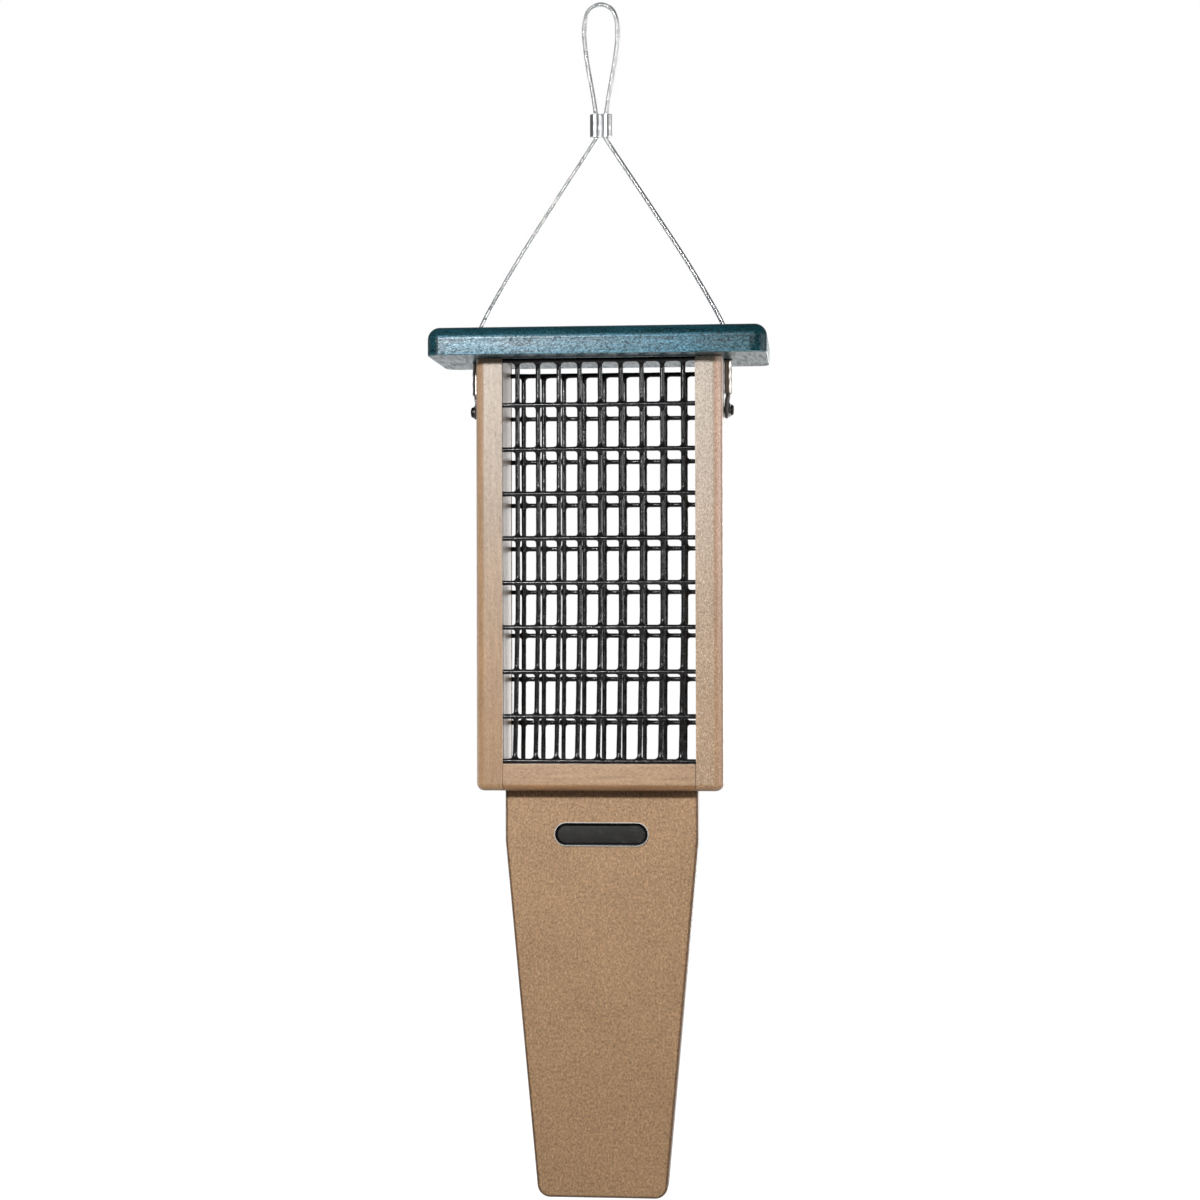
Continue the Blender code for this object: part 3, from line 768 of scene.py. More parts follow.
def cableEye(side, sign):
    e = cableEnd
    ferruleX, neckX = sign * e["ferruleX"], sign * e["neckX"]
    points = [
        (ferruleX, e["deadY"], e["ferruleTop"] - e["deadDrop"]),
        (ferruleX, e["deadY"], e["ferruleFoot"]),
        (neckX, e["eyeY"] + e["neckY"], e["neckZ"]),
    ]
    for i in range(e["turnSteps"] + 1):
        angle = math.radians(e["turnStart"] - e["turnSweep"] * i / e["turnSteps"])
        y, z = e["eyeRadius"] * math.cos(angle), e["eyeRadius"] * math.sin(angle)
        points.append((sign * e["eyeX"], e["eyeY"] + y, e["eyeZ"] + z))
    points += [
        (neckX, e["eyeY"] - e["neckY"], e["neckZ"]),
        (ferruleX, e["liveY"], e["ferruleFoot"]),
        (ferruleX, e["liveY"], e["ferruleTop"]),
    ]
    piece = layCable(f"{side}CableEye", points, paintedShadeCable)[0]
    settle(piece, "housing", "steel_cable", f"{side}_cable_eye")


def lowerStrand(side, sign):
    e = cableEnd
    points = [
        (sign * e["ferruleX"], 0.0, e["ferruleTop"] + e["strandLift"]),
        (sign * e["holeX"], 0.0, (hanging["roofTop"] + e["roofFoot"]) / 2),
        (sign * hanging["footX"], 0.0, hanging["roofTop"]),
    ]
    piece = layCable(f"{side}LowerStrand", points, paintedShadeCable)[0]
    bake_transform(piece)
    settle(piece, None, "steel_cable", f"{side}_lower_cable")


for side, sign in handed:
    cableEye(side, sign)
    lowerStrand(side, sign)
print("cable laid")


# Roof board: rounded all round its top and its corners, sharp below, with a countersunk hole near each end

roof = fromMm({
    "low": (-103, -42, -219.8), "high": (103, 42, -202.3), "round": 7.5, "lowerEase": 0.6,
    "runOut": (0.8, 1.8, 3.2), "frontSkin": (-95.4, 92.6),
    "holeX": 77.25, "holeRadius": 3.1, "topEase": (3.2, 1.0), "footEase": (0.5, 0.5),
})
roof |= {"runOutShares": (0.6, 0.35, 0.15), "forward": -0.05, "level": 0.95}


def buildRoof():
    bm = block(roof["low"], roof["high"])
    foot, top = roof["low"][2], roof["high"][2]
    roundOver(bm, [edge for edge in bm.edges if not onPlane(edge, 2, foot)], roof["round"], 12)
    roundOver(bm, [edge for edge in bm.edges if onPlane(edge, 2, foot)], roof["lowerEase"], 2, "arris")
    # painted shade: the deeper colour of the rounded edge runs out over a few millimetres of the face
    high = top - roof["round"]
    for reach, share in zip(roof["runOut"], roof["runOutShares"]):
        low = top - roof["round"] - reach
        cutAcross(bm, 2, low)
        band = [f for f in bm.faces if low < middle(f)[2] < high and max(map(abs, f.normal)) > flatFace]
        mark(bm, band, "routed", share)
        high = low
    # painted shade: at the front corners the deeper colour starts with a crisp line, and at the right end it reaches a
    # few millimetres onto the front face
    left, right = roof["frontSkin"]
    cutAcross(bm, 0, right, lambda face: face.normal[1] < -flatFace)
    ends = [f for f in bm.faces if not left < middle(f)[0] < right]
    mark(bm, [f for f in ends if f.normal[1] < roof["forward"] and abs(f.normal[2]) < roof["level"]], "routed")
    for sign in (-1, 1):
        rims = []
        for height, facing, (wide, deep) in ((top, 1, roof["topEase"]), (foot, -1, roof["footEase"])):
            mouth = roof["holeRadius"] + wide
            patch = roundPatch(bm, (sign * roof["holeX"], 0.0, height), 2, facing, mouth)
            rims.append(sink(bm, patch, 2, facing, deep, roof["holeRadius"] / mouth))
        edges = [edge for floor in rims for edge in floor.edges]
        dropFaces(bm, rims)
        mark(bm, bmesh.ops.bridge_loops(bm, edges=edges)["faces"], "routed")
    # the underside, which is painted pale in patches
    mark(bm, [f for f in bm.faces if onPlane(f, 2, foot)], "paintedUnderside")
    finishBoard(bm, "roofBoard", greenAcross, "roof", "green_board", "roof_board")


buildRoof()
print("roof made")


# Side boards: rounded on their outer edges and foot, with a kerf down the inside for each wire panel

sideBoard = fromMm({
    "inner": 59.0, "outer": 75.5, "halfDepth": 24.5, "foot": -484.3, "top": -220.1,
    "round": 6.0, "footRound": 4.5, "ease": 0.5,
    "kerfY": 20.9, "kerfHalf": 1.6, "kerfDepth": 7.0, "kerfFoot": {"front": -468.1, "rear": -473.3},
    "screwY": (-12, 12), "screwZ": -476.05, "sinkRadius": 3.6, "sinkDepth": 2.4, "spare": 0.01,
})
sideBoard |= {"sinkRoom": 1.03, "sinkShrink": 0.6}


def cutKerf(bm, sign, y, foot):
    b = sideBoard
    spare = b["spare"]
    inner, deep = sign * b["inner"], sign * (b["inner"] + b["kerfDepth"])

    def onTop(face):
        return onPlane(face, 2, b["top"])

    def onInner(face):
        return onPlane(face, 0, inner)

    def inKerf(face):
        return abs(middle(face)[1] - y) < b["kerfHalf"] - spare

    for edgeY in (y - b["kerfHalf"], y + b["kerfHalf"]):
        cutAcross(bm, 1, edgeY, lambda face: onInner(face) or onTop(face))
    cutAcross(bm, 0, deep, onTop)
    cutAcross(bm, 2, foot, onInner)
    strip = [f for f in bm.faces if onInner(f) and inKerf(f) and middle(f)[2] > foot]
    onMouth = [f for f in bm.faces if onTop(f) and inKerf(f)]
    mouth = [f for f in onMouth if abs(middle(f)[0]) < b["inner"] + b["kerfDepth"]]
    verts = extrude(bm, strip, (sign * b["kerfDepth"], 0.0, 0.0))[1]
    lids = [f for f in bm.faces if f not in mouth and onTop(f) and inKerf(f) and any(v in f.verts for v in verts)]
    dropFaces(bm, mouth + lids)
    bmesh.ops.remove_doubles(bm, verts=bm.verts, dist=0.002 * mm)
    reach = (b["inner"] + 5 * spare, b["inner"] + b["kerfDepth"] + spare)
    cut = []
    for face in bm.faces:
        x, across, z = middle(face)
        inHeight = foot - spare <= z < b["top"] - 5 * spare
        if inHeight and reach[0] < abs(x) <= reach[1] and abs(across - y) <= b["kerfHalf"] + spare:
            cut.append(face)
    mark(bm, cut, "routed")


def buildSideBoard(side, sign, material):
    b = sideBoard
    xs = sorted((sign * b["inner"], sign * b["outer"]))
    bm = block((xs[0], -b["halfDepth"], b["foot"]), (xs[1], b["halfDepth"], b["top"]))
    outer, inner = sign * b["outer"], sign * b["inner"]

    def upright(x):
        return [e for e in bm.edges if onEither(e, 1, b["halfDepth"]) and onPlane(e, 0, x)]

    roundOver(bm, upright(outer), b["round"], 10)
    roundOver(bm, [e for e in bm.edges if onPlane(e, 2, b["foot"]) and not onPlane(e, 0, inner)], b["footRound"], 9)
    roundOver(bm, upright(inner), b["ease"], 2, "arris")
    for panel, facing in faced:
        cutKerf(bm, sign, facing * b["kerfY"], b["kerfFoot"][panel])
    for y in b["screwY"]:
        patch = roundPatch(bm, (outer, y, b["screwZ"]), 0, sign, b["sinkRadius"], b["sinkRoom"])
        sink(bm, patch, 0, sign, b["sinkDepth"], b["sinkShrink"])
    finishBoard(bm, f"{side}SideBoard", material, "housing", "taupe_board", f"{side}_side_board")


for (side, sign), material in zip(handed, (taupeUpright, taupeFrosted)):
    buildSideBoard(side, sign, material)
print("side boards made")


# Floor board: lies between the sides, grooved at the rear, with three sunk screws

floorBoard = fromMm({
    "halfWidth": 58.7, "halfDepth": 24.5, "foot": -484.3, "top": -467.8, "round": 4.5, "ease": 0.5,
    "groove": (17.3, 22.5), "grooveFoot": -473.3, "spare": 0.01, "footSkin": 2, "topSkin": 0.1,
    "screwX": (-40, 0.0, 40), "sinkRadius": 4.4, "sinkDepth": 2.9,
})
floorBoard |= {"sinkShrink": 0.6}


def buildFloor():
    b = floorBoard
    foot, top, spare = b["foot"], b["top"], b["spare"]
    bm = block((-b["halfWidth"], -b["halfDepth"], foot), (b["halfWidth"], b["halfDepth"], top))
    roundOver(bm, [e for e in bm.edges if onEither(e, 1, b["halfDepth"]) and onPlane(e, 2, foot)], b["round"], 10)
    front = [e for e in bm.edges if onPlane(e, 1, -b["halfDepth"]) and onPlane(e, 2, top)]
    roundOver(bm, front, b["ease"], 2, "arris")
    # the groove takes the rear panel's foot
    low, high = b["groove"]
    cutAcross(bm, 1, low)
    cutAcross(bm, 1, high)
    strip = [f for f in bm.faces if onPlane(f, 2, top) and low < middle(f)[1] < high]
    extrude(bm, strip, (0.0, 0.0, b["grooveFoot"] - top))
    inGroove = [f for f in bm.faces if low - spare <= middle(f)[1] <= high + spare]
    mark(bm, [f for f in inGroove if foot + b["footSkin"] < middle(f)[2] < top - b["topSkin"]], "routed")
    for x in b["screwX"]:
        patch = roundPatch(bm, (x, 0.0, top), 2, 1, b["sinkRadius"])
        sink(bm, patch, 2, 1, b["sinkDepth"], b["sinkShrink"])
    finishBoard(bm, "floorBoard", taupeAcross, "housing", "taupe_board", "floor_board")


buildFloor()
print("floor board made")


# Tail board: straight under the floor, then tapered to a rounded foot

tailBoard = fromMm({
    "halfTop": 59.5, "halfFoot": 39.5, "top": -484.6, "foot": -734.6, "straight": 31, "footRound": 8,
    "shoulderRound": 30, "half": 8.25, "edgeRound": 2.0,
})


def arcPoints(centre, radius, start, end, steps):
    turns = [math.radians(start + (end - start) * i / steps) for i in range(steps + 1)]
    return [(centre[0] + radius * math.cos(a), centre[1] + radius * math.sin(a)) for a in turns]


def buildTail():
    b = tailBoard
    half, shoulder = b["half"], b["top"] - b["straight"]
    lean = math.atan2(b["halfTop"] - b["halfFoot"], shoulder - b["foot"])
    lift = b["shoulderRound"] * math.tan(lean / 2)
    inset = b["footRound"] * math.tan(math.pi / 4 - lean / 2)
    turn = math.degrees(lean)
    right = [(b["halfTop"], b["top"])]
    right += arcPoints((b["halfTop"] - b["shoulderRound"], shoulder + lift), b["shoulderRound"], 0.0, -turn, 6)
    right += arcPoints((b["halfFoot"] - inset, b["foot"] + b["footRound"]), b["footRound"], -turn, -90.0, 16)
    outline = right + [(-x, z) for x, z in reversed(right)]
    bm = bmesh.new()
    for kind in ("routed", "arris"):
        bm.faces.layers.float.new(kind)
    face = bm.faces.new([bm.verts.new((x, -half, z)) for x, z in outline])
    extrude(bm, [face], (0.0, 2 * half, 0.0), keep=True)
    mark(bm, [f for f in bm.faces if not onEither(f, 1, half)], "routed")
    roundOver(bm, [e for e in bm.edges if onEither(e, 1, half) and not onPlane(e, 2, b["top"])], b["edgeRound"], 6)
    finishBoard(bm, "tailBoard", taupeTail, "housing", "taupe_board", "tail_board")


buildTail()
print("tail board made")


# The bare plate on the tail

label = fromMm({
    "halfWidth": 29.15, "halfHeight": 7.45, "centreZ": -511.7, "front": -9.35, "back": -8.55, "edgeRound": 0.3,
    "rim": 0.55, "step": 0.25, "recess": 0.12, "ring": 1.5, "ringRise": 0.1,
})
label |= {"sideCorners": 12}


def buildLabel():
    b = label
    radius = b["halfHeight"]
    reach = b["halfWidth"] - radius
    outline = arcPoints((reach, b["centreZ"]), radius, -90.0, 90.0, 24)
    outline += arcPoints((-reach, b["centreZ"]), radius, 90.0, 270.0, 24)
    bm = bmesh.new()
    face = bm.faces.new([bm.verts.new((x, b["back"], z)) for x, z in outline])
    extrude(bm, [face], (0.0, b["front"] - b["back"], 0.0), keep=True)
    roundOver(bm, [e for e in bm.edges if onPlane(e, 1, b["front"])], b["edgeRound"], 3)
    front = [f for f in bm.faces if onPlane(f, 1, b["front"]) and len(f.verts) > b["sideCorners"]][0]

    def paint(faces, index):
        for each in faces:
            each.material_index = index

    def inset(thickness, depth=0.0):
        made = bmesh.ops.inset_region(bm, faces=[front], thickness=thickness, depth=depth, use_even_offset=True)
        return made["faces"]

    paint(bm.faces, 1)
    inset(b["rim"] - b["edgeRound"])
    paint(inset(b["step"], -b["recess"]) + inset(b["ring"], b["ringRise"]), 2)
    paint([front], 0)
    finishPiece(bm, "labelPlate", 30, [plateBlack, plateRim, plateRing], "housing", "label_black", "label_plate")


buildLabel()
print("plate made")


# Welded wire panels, dipped in black vinyl that fills the corners where wires cross

wirePanel = fromMm({
    "wire": 1.3, "rowEnd": 65.0, "rowY": 20.9, "columnY": 18.898, "columnPitch": 12.7, "rowPitch": 27.2,
    "bottom": {"front": -466.2, "rear": -471.4}, "overrun": -0.2,
    "web": 3.6, "webThick": 1.9, "outerWebLess": 0.9, "voxel": 0.66, "melted": 0.3,
    "lean": {"front": (0.73, -1.1), "rear": (0.0, -0.7)}, "leanFrom": -374.0, "leanTo": -462.0,
    "wander": 0.15, "swell": 0.1, "endFade": 8,
})
wirePanel |= {
    "rows": 10, "columnsEachSide": 4, "wireSides": 14, "smoothings": 3, "wanderWaves": 22.0, "swellWaves": 8.0,
}


def addWire(bm, start, end, radius):
    start, end = Vector(start), Vector(end)
    bmesh.ops.create_cone(
        bm, cap_ends=True, segments=wirePanel["wireSides"], radius1=radius, radius2=radius, depth=(end - start).length,
        matrix=aimed((start + end) / 2, end - start),
    )


def remeshed(bm, name, voxel):
    mesh = bpy.data.meshes.new(name)
    bm.to_mesh(mesh)
    bm.free()
    maker = addObject(name, mesh)
    melt = maker.modifiers.new("melt", "REMESH")
    melt.mode = "VOXEL"
    melt.voxel_size = voxel
    made = bakedMesh(maker)
    bpy.data.meshes.remove(mesh)
    return made


def clipped(value):
    return min(1.0, max(0.0, value))


def buildPanel(panel, facing):
    p = wirePanel
    grown = p["wire"] + p["melted"]
    bottom = p["bottom"][panel]
    top = bottom + (p["rows"] - 1) * p["rowPitch"]
    rowY, columnY = facing * p["rowY"], facing * p["columnY"]
    bm = bmesh.new()
    heights = [bottom + i * p["rowPitch"] for i in range(p["rows"])]
    places = [i * p["columnPitch"] for i in range(-p["columnsEachSide"], p["columnsEachSide"] + 1)]
    for z in heights:
        addWire(bm, (-p["rowEnd"], rowY, z), (p["rowEnd"], rowY, z), grown)
    for x in places:
        addWire(bm, (x, columnY, bottom - p["overrun"]), (x, columnY, top + p["overrun"]), grown)
    middleY = (rowY + columnY) / 2
    # a small lozenge of vinyl that the smoothing turns into the corner webs; at the outer rows only the inner two
    for z in heights:
        inward = (z == heights[0]) - (z == heights[-1])
        reach = p["web"] - abs(inward) * p["outerWebLess"]
        shape = Matrix.Diagonal((reach * math.sqrt(2), p["webThick"], reach * math.sqrt(2), 1.0))
        for x in places:
            place = Matrix.Translation((x, middleY, z + inward * (reach - p["wire"])))
            bmesh.ops.create_cube(bm, size=1.0, matrix=place @ Matrix.Rotation(math.pi / 4, 4, "Y") @ shape)
    mesh = remeshed(bm, f"{panel}WirePanel", p["voxel"])
    bm = bmesh.new()
    bm.from_mesh(mesh)
    for _ in range(p["smoothings"]):
        bmesh.ops.smooth_vert(bm, verts=bm.verts, factor=0.5, use_axis_x=True, use_axis_y=True, use_axis_z=True)
    bm.normal_update()
    # the dip runs a little thick and thin, and the wires wander and lean a little
    upper, lower = p["lean"][panel]
    for vert in bm.verts:
        spot = vert.co * p["wanderWaves"]
        drift = [noise.noise(spot + Vector(shift)) for shift in ((0, 0, 0), (7, 0, 0), (0, 9, 0))]
        fade = clipped((p["rowEnd"] - abs(vert.co.x)) / p["endFade"])
        share = clipped((p["leanFrom"] - vert.co.z) / (p["leanFrom"] - p["leanTo"]))
        vert.co.x += (upper + (lower - upper) * share) * fade
        swell = vert.normal * noise.noise(spot * p["swellWaves"]) * p["swell"] * fade
        vert.co += Vector(drift) * p["wander"] * fade + swell
    bm.to_mesh(mesh)
    bm.free()
    mesh.materials.clear()
    mesh.shade_smooth()
    piece = linkPiece(f"{panel}WirePanel", mesh, [vinylBlack])
    settle(piece, "housing", "black_vinyl", f"{panel}_mesh_panel")
    print(panel, "wire panel made,", len(mesh.polygons), "faces")


for panel, facing in faced:
    buildPanel(panel, facing)


# Pressed ferrules: two lobes side by side, one round each strand

topFerrule = fromMm({
    "spacing": 6.5, "acrossRadius": 3.6, "deepRadius": 3.1, "bore": 1.62, "foot": -81.3, "length": 14.3,
    "edgeRound": 0.35,
})
sideFerrule = fromMm({
    "spacing": 3.2, "acrossRadius": 2.35, "deepRadius": 2.35, "bore": 1.62, "foot": -240.8, "length": 20.6,
    "edgeRound": 0.3,
})
# each crimp: shares of the length where it starts and ends, then its depth
topCrimps = ((0.0, 0.42, 0.12 * mm), (0.55, 1.0, 0.1 * mm))
sideCrimps = tuple((start, start + 0.24, 0.18 * mm) for start in (0.06, 0.38, 0.7))
press = {"steps": 16, "lobeSteps": 28, "boreSides": 24, "rimClear": 0.05 * mm, "wallClear": 0.1 * mm, "flank": 0.6 * mm}


def buildFerrule(name, b, centre, turn, body, node, crimps, metal):
    half, length, steps = b["spacing"] / 2, b["length"], press["steps"]
    share = min(0.98, half / b["acrossRadius"])
    sweep = math.degrees(math.pi - math.acos(share))
    right = []
    for x, y in arcPoints((0.0, 0.0), 1.0, -sweep, sweep, press["lobeSteps"]):
        right.append((half + b["acrossRadius"] * x, b["deepRadius"] * y))
    outline = right[:-1] + [(-x, -y) for x, y in right][:-1]
    bm = bmesh.new()
    verts = [bm.verts.new((x, y, 0.0)) for x, y in outline]
    edges = [bm.edges.new((a, c)) for a, c in zip(verts, verts[1:] + verts[:1])]
    bores = []
    for sign in (-1, 1):
        place = Matrix.Translation((sign * half, 0.0, 0.0))
        ring = bmesh.ops.create_circle(bm, segments=press["boreSides"], radius=b["bore"], matrix=place)["verts"]
        bores.append(ring)
        edges += list({e for v in ring for e in v.link_edges})
    bmesh.ops.triangle_fill(bm, edges=edges, use_beauty=True)
    for ring in bores:
        dropFaces(bm, [f for f in bm.faces if all(v in ring for v in f.verts)])

    def fromBore(vert):
        return min((vert.co.xy - Vector((s * half, 0.0))).length for s in (-1, 1))

    faces = bm.faces[:]
    for i in range(steps):
        faces = extrude(bm, faces, (0.0, 0.0, length / steps), keep=not i)[0]
    rims = []
    for edge in bm.edges:
        atEnd = onPlane(edge, 2, 0.0) or onPlane(edge, 2, length)
        if atEnd and any(abs(f.normal.z) < 0.5 for f in edge.link_faces) and edge.is_manifold:
            if not all(fromBore(v) < b["bore"] + press["rimClear"] for v in edge.verts):
                rims.append(edge)
    roundOver(bm, rims, b["edgeRound"], 2)
    # the press leaves shallow bands across the sleeve
    flank = press["flank"]
    for vert in bm.verts:
        if fromBore(vert) < b["bore"] + press["wallClear"]:
            continue
        for start, end, deep in crimps:
            inBand = min(vert.co.z - start * length, end * length - vert.co.z) / flank
            if inBand > 0 and abs(vert.co.y) > flank:
                vert.co.y -= math.copysign(deep * min(1.0, inBand), vert.co.y)
    bmesh.ops.rotate(bm, cent=(0, 0, 0), matrix=Matrix.Rotation(turn, 3, "Z"), verts=bm.verts)
    bmesh.ops.translate(bm, vec=centre, verts=bm.verts)
    return finishPiece(bm, name, 34, [metal], body, "aluminium", node)


topCentre = (0.0, 0.0, topFerrule["foot"])
topSleeve = buildFerrule(
    "topFerrule", topFerrule, topCentre, 0.0, "hanger", "top_ferrule", topCrimps, pressedAluminium
)
for side, sign in handed:
    centre = (sign * cableEnd["ferruleX"], cableEnd["eyeY"], sideFerrule["foot"])
    buildFerrule(
        f"{side}SideFerrule", sideFerrule, centre, math.pi / 2, "housing", f"{side}_side_ferrule", sideCrimps,
        paintedShadeAluminium,
    )
print("ferrules made")


# Screws and washers, turned about their own line and then set in place

# shares of the head's radius and height; neck and cross are heights where the shank and the driver's cross start
panHead = {
    "rim": ((0.42, 1.0), (0.56, 0.985), (0.7, 0.93), (0.83, 0.8), (0.93, 0.6), (0.985, 0.38), (1.0, 0.2), (1.0, 0.0)),
    "neck": 0.0, "cross": 1.0, "crossSize": (0.36, 0.16),
}
flatHead = {"rim": ((0.62, 0.0), (1.0, 0.0), (1.0, -0.15)), "neck": -1.0, "cross": 0.0, "crossSize": (0.5, 0.17)}
# for the eye, the floor and the tail: radius and height of the head, and length
screw = fromMm({
    "eye": (3.4, 1.9, 17), "floor": (3.45, 2.2, 34), "tail": (4.1, 2.8, 40), "shank": 2.1, "tip": 3, "eyeX": 79.8,
})
screw |= {"sides": 32, "crossDepth": 0.5, "crossTaper": 0.72}
washer = fromMm({"hole": 2.4, "rim": 4.3, "thick": 0.6, "ease": 0.2, "x": 78.9})
washer |= {"sides": 48}


def turnedPiece(profile, sides):
    bm = bmesh.new()
    verts = [bm.verts.new((radius, 0.0, height)) for radius, height in profile]
    lines = [bm.edges.new(pair) for pair in zip(verts, verts[1:])]
    bmesh.ops.spin(
        bm, geom=verts + lines, cent=(0, 0, 0), axis=(0, 0, 1), angle=math.tau, steps=sides, use_merge=True,
    )
    bmesh.ops.remove_doubles(bm, verts=bm.verts, dist=0.002 * mm)
    return bm


def crossRecess(bm, height, reach, width, depth):
    # closes the turned head's top round a cross for the driver
    ring = [e for e in bm.edges if e.is_boundary and onPlane(e, 2, height)]
    a, c = width / 2, reach
    corners = [(a, a), (a, c), (-a, c), (-a, a), (-c, a), (-c, -a)]
    corners += [(-a, -a), (-a, -c), (a, -c), (a, -a), (c, -a), (c, a)]
    verts = [bm.verts.new((x, y, height)) for x, y in corners]
    lines = [bm.edges.new(pair) for pair in zip(verts, verts[1:] + verts[:1])]
    bmesh.ops.triangle_fill(bm, edges=ring + lines, use_beauty=True)
    dropFaces(bm, [f for f in bm.faces if all(v in verts for v in f.verts)])
    for vert in extrude(bm, [bm.faces.new(verts)])[1]:
        vert.co.x *= screw["crossTaper"]
        vert.co.y *= screw["crossTaper"]
        vert.co.z -= depth


def setAlong(bm, origin, direction, spin=0.0):
    bmesh.ops.transform(bm, matrix=aimed(origin, direction) @ Matrix.Rotation(spin, 4, "Z"), verts=bm.verts)


def driveScrew(name, form, size, origin, direction, spin, node, metal=screwSteel):
    head, height, length = screw[size]
    shank = screw["shank"]
    profile = [(r * head, h * height) for r, h in form["rim"]]
    profile += [(shank, form["neck"] * height), (shank, screw["tip"] - length), (0.0, -length)]
    bm = turnedPiece(profile, screw["sides"])
    reach, width = form["crossSize"]
    crossRecess(bm, form["cross"] * height, reach * head, width * head, screw["crossDepth"] * height)
    setAlong(bm, origin, direction, spin)
    finishPiece(bm, name, 40, [metal], "housing", "screw_steel", node)


def eyeWasher(side, sign):
    hole, rim, thick, ease = washer["hole"], washer["rim"], washer["thick"], washer["ease"]
    profile = [(hole, thick), (rim - ease, thick), (rim, thick - ease), (rim, 0.0), (hole, 0.0), (hole, thick)]
    bm = turnedPiece(profile, washer["sides"])
    setAlong(bm, (sign * washer["x"], cableEnd["eyeY"], cableEnd["eyeZ"]), (sign, 0, 0))
    finishPiece(bm, f"{side}EyeWasher", 40, [paintedShadeZinc], "housing", "aluminium", f"{side}_eye_washer")


for side, sign in handed:
    eyeWasher(side, sign)
    origin = (sign * screw["eyeX"], cableEnd["eyeY"], cableEnd["eyeZ"])
    driveScrew(f"{side}EyeScrew", panHead, "eye", origin, (sign, 0, 0), 0.5, f"{side}_eye_screw", paintedShadeSteel)
    for where, y, spin in zip(("Front", "Rear"), sideBoard["screwY"], (0.2, 1.1)):
        origin = (sign * sideBoard["outer"], y, sideBoard["screwZ"])
        node = f"{side}_{where.lower()}_floor_screw"
        driveScrew(f"{side}{where}FloorScrew", flatHead, "floor", origin, (sign, 0, 0), spin, node)
for where, x, spin in zip(("left", "centre", "right"), floorBoard["screwX"], (0.3, 0.9, 1.3)):
    origin = (x, 0.0, floorBoard["top"])
    driveScrew(f"{where}TailScrew", flatHead, "tail", origin, (0, 0, 1), spin, f"{where}_tail_screw")
print("screws made")


# Plain pale studio: a white sweep behind and below, dark flags at the sides, one soft lamp at the front left
# a little above the feeder, a weak fill at the right and two behind

lamps = {
    "key": {"place": (-0.34, -1.47, 0.1), "aim": (0.0, 0.0, -0.42), "size": (0.18, 0.14), "spread": 76, "power": 3.75},
    "fill": {"place": (2.0, -0.35, -0.15), "aim": (0.05, 0.0, -0.3), "size": (2.2, 0.4), "spread": 180, "power": 23.5},
    "back": {"place": (1.0, 2.4, -0.5), "aim": (0.0, 0.0, -0.4), "size": (1.0, 1.0), "spread": 120, "power": 5.0},
    "side": {"place": (-1.9, 0.95, -0.6), "aim": (0.0, 0.0, -0.4), "size": (1.0, 0.7), "spread": 150, "power": 4.0},
}
studio = {
    "floorZ": -1.75, "floorSize": 24.0, "paint": 0.86, "bounce": 0.3, "floorRoughness": 0.9, "floorGlow": 0.93,
    "ambient": 0.11, "sweepGlow": 0.45, "flags": 0.1,
    "floorMirrored": (-1.5, 0.5), "skyGlow": (0.1, 0.9), "skyMirrored": (0.78, 0.93),
}


def softLamp(name, look):
    data = bpy.data.lights.new(name, "AREA")
    data.shape = "RECTANGLE"
    data.size, data.size_y = look["size"]
    data.spread = math.radians(look["spread"])
    data.energy = look["power"]
    place = Vector(look["place"])
    addObject(name, data).matrix_world = aimed(place, Vector(look["aim"]) - place, "-Z")


def rayMasks(tree):
    rays = tree.nodes.new("ShaderNodeLightPath").outputs
    return rays["Is Camera Ray"], mathNode(tree, "MAXIMUM", rays["Is Glossy Ray"], rays["Is Transmission Ray"])


def backwards(tree, coordinates):
    place = tree.nodes.new("ShaderNodeTexCoord").outputs[coordinates]
    return addNode(tree, "ShaderNodeSeparateXYZ", in_Vector=place).outputs["Y"]


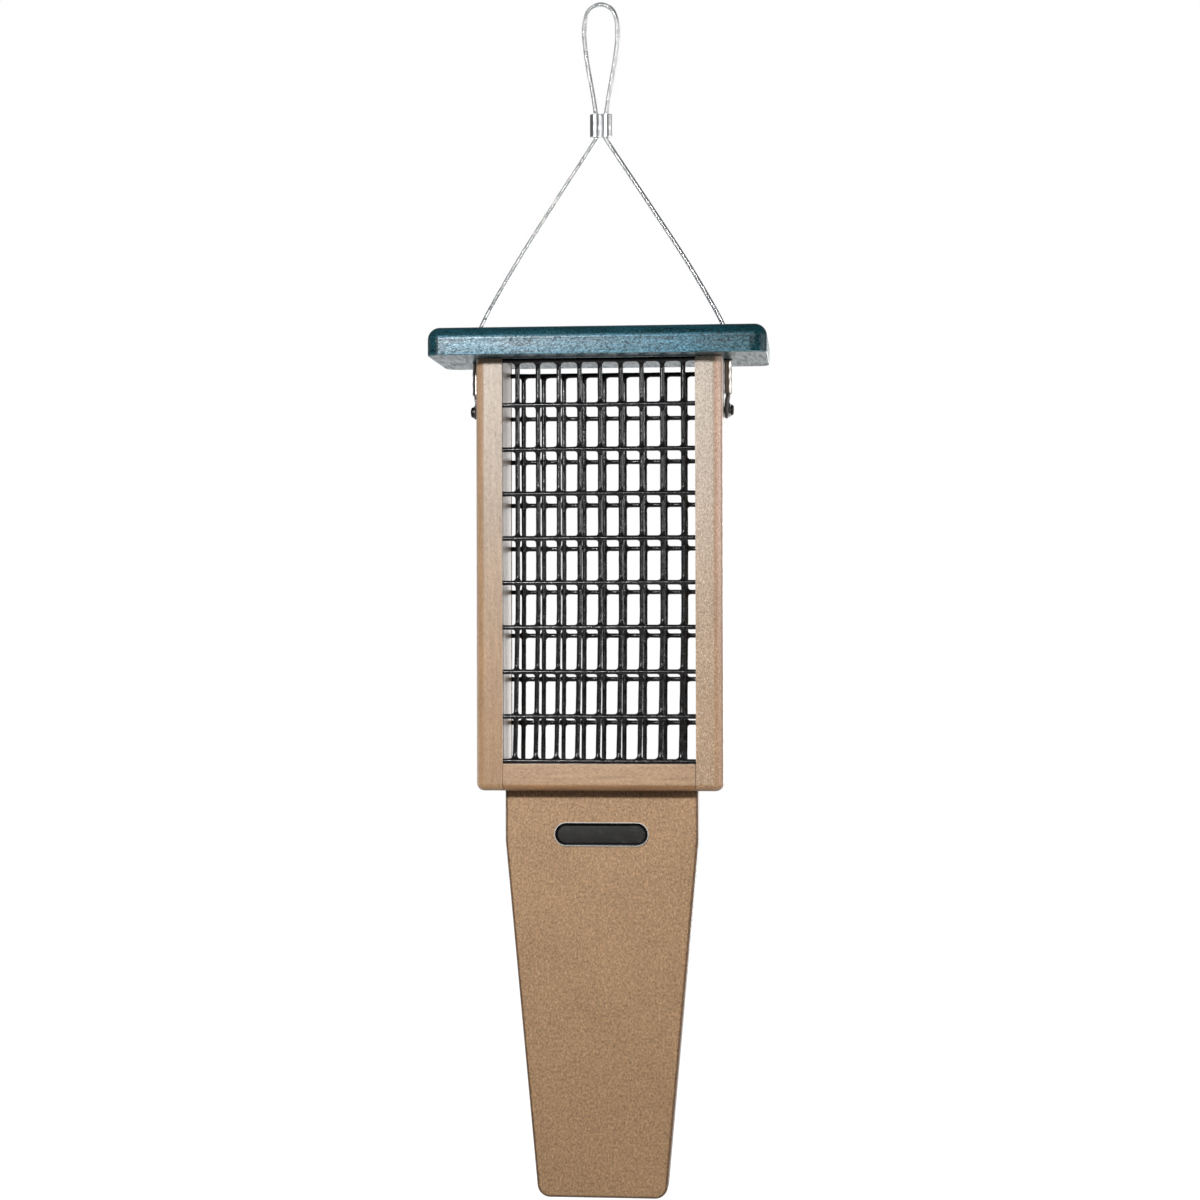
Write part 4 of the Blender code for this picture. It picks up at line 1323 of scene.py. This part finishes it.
def buildFloorSheet():
    bm = bmesh.new()
    bmesh.ops.create_grid(bm, x_segments=1, y_segments=1, size=studio["floorSize"] / 2)
    bmesh.ops.translate(bm, vec=(0.0, 0.0, studio["floorZ"]), verts=bm.verts)
    mesh = bpy.data.meshes.new("studioFloor")
    bm.to_mesh(mesh)
    bm.free()
    material = bpy.data.materials.new("paleFloor")
    material.use_nodes = True
    tree = material.node_tree
    camera, mirrored = rayMasks(tree)
    behind = ramp(tree, backwards(tree, "Object"), *studio["floorMirrored"])
    flagged = mathNode(tree, "MAXIMUM", behind, studio["flags"])
    seen = mathNode(tree, "MAXIMUM", camera, mathNode(tree, "MULTIPLY", mirrored, flagged))
    strength = mathNode(tree, "MULTIPLY", seen, studio["floorGlow"])
    glow = addNode(tree, "ShaderNodeEmission", in_Strength=strength)
    # little of the floor's light bounces back up under the boards
    paint = mixColour(tree, camera, [studio["bounce"]] * 3, [studio["paint"]] * 3)
    shader = tree.nodes["Principled BSDF"]
    feedInputs(tree, shader, Roughness=studio["floorRoughness"], Base_Color=paint)
    both = tree.nodes.new("ShaderNodeAddShader")
    for slot, each in zip(both.inputs, (shader, glow)):
        feed(tree, slot, each.outputs[0])
    feedInputs(tree, tree.nodes["Material Output"], Surface=both.outputs[0])
    linkPiece("studioFloor", mesh, [material])


def buildSky():
    world = bpy.data.worlds.new("studioSky")
    world.use_nodes = True
    bpy.context.scene.world = world
    tree = world.node_tree
    camera, mirrored = rayMasks(tree)
    height = backwards(tree, "Generated")
    # plain light from all round, more of it from the sweep behind
    glow = ramp(tree, height, *studio["skyGlow"])
    glow = mathNode(tree, "MULTIPLY_ADD", glow, studio["sweepGlow"], studio["ambient"])
    sweep = mathNode(tree, "MAXIMUM", ramp(tree, height, *studio["skyMirrored"]), studio["flags"])
    strength = mathNode(tree, "MULTIPLY", mirrored, sweep)
    strength = plus(tree, strength, mathNode(tree, "SUBTRACT", 1.0, mirrored), glow)
    strength = mathNode(tree, "MAXIMUM", strength, camera)
    feedInputs(tree, tree.nodes["Background"], Color=(1.0, 1.0, 1.0), Strength=strength)
    bpy.context.scene.view_settings.view_transform = "Standard"


for name in ("key", "fill", "back", "side"):
    softLamp(f"{name}Lamp", lamps[name])
buildFloorSheet()
buildSky()
print("studio lit")
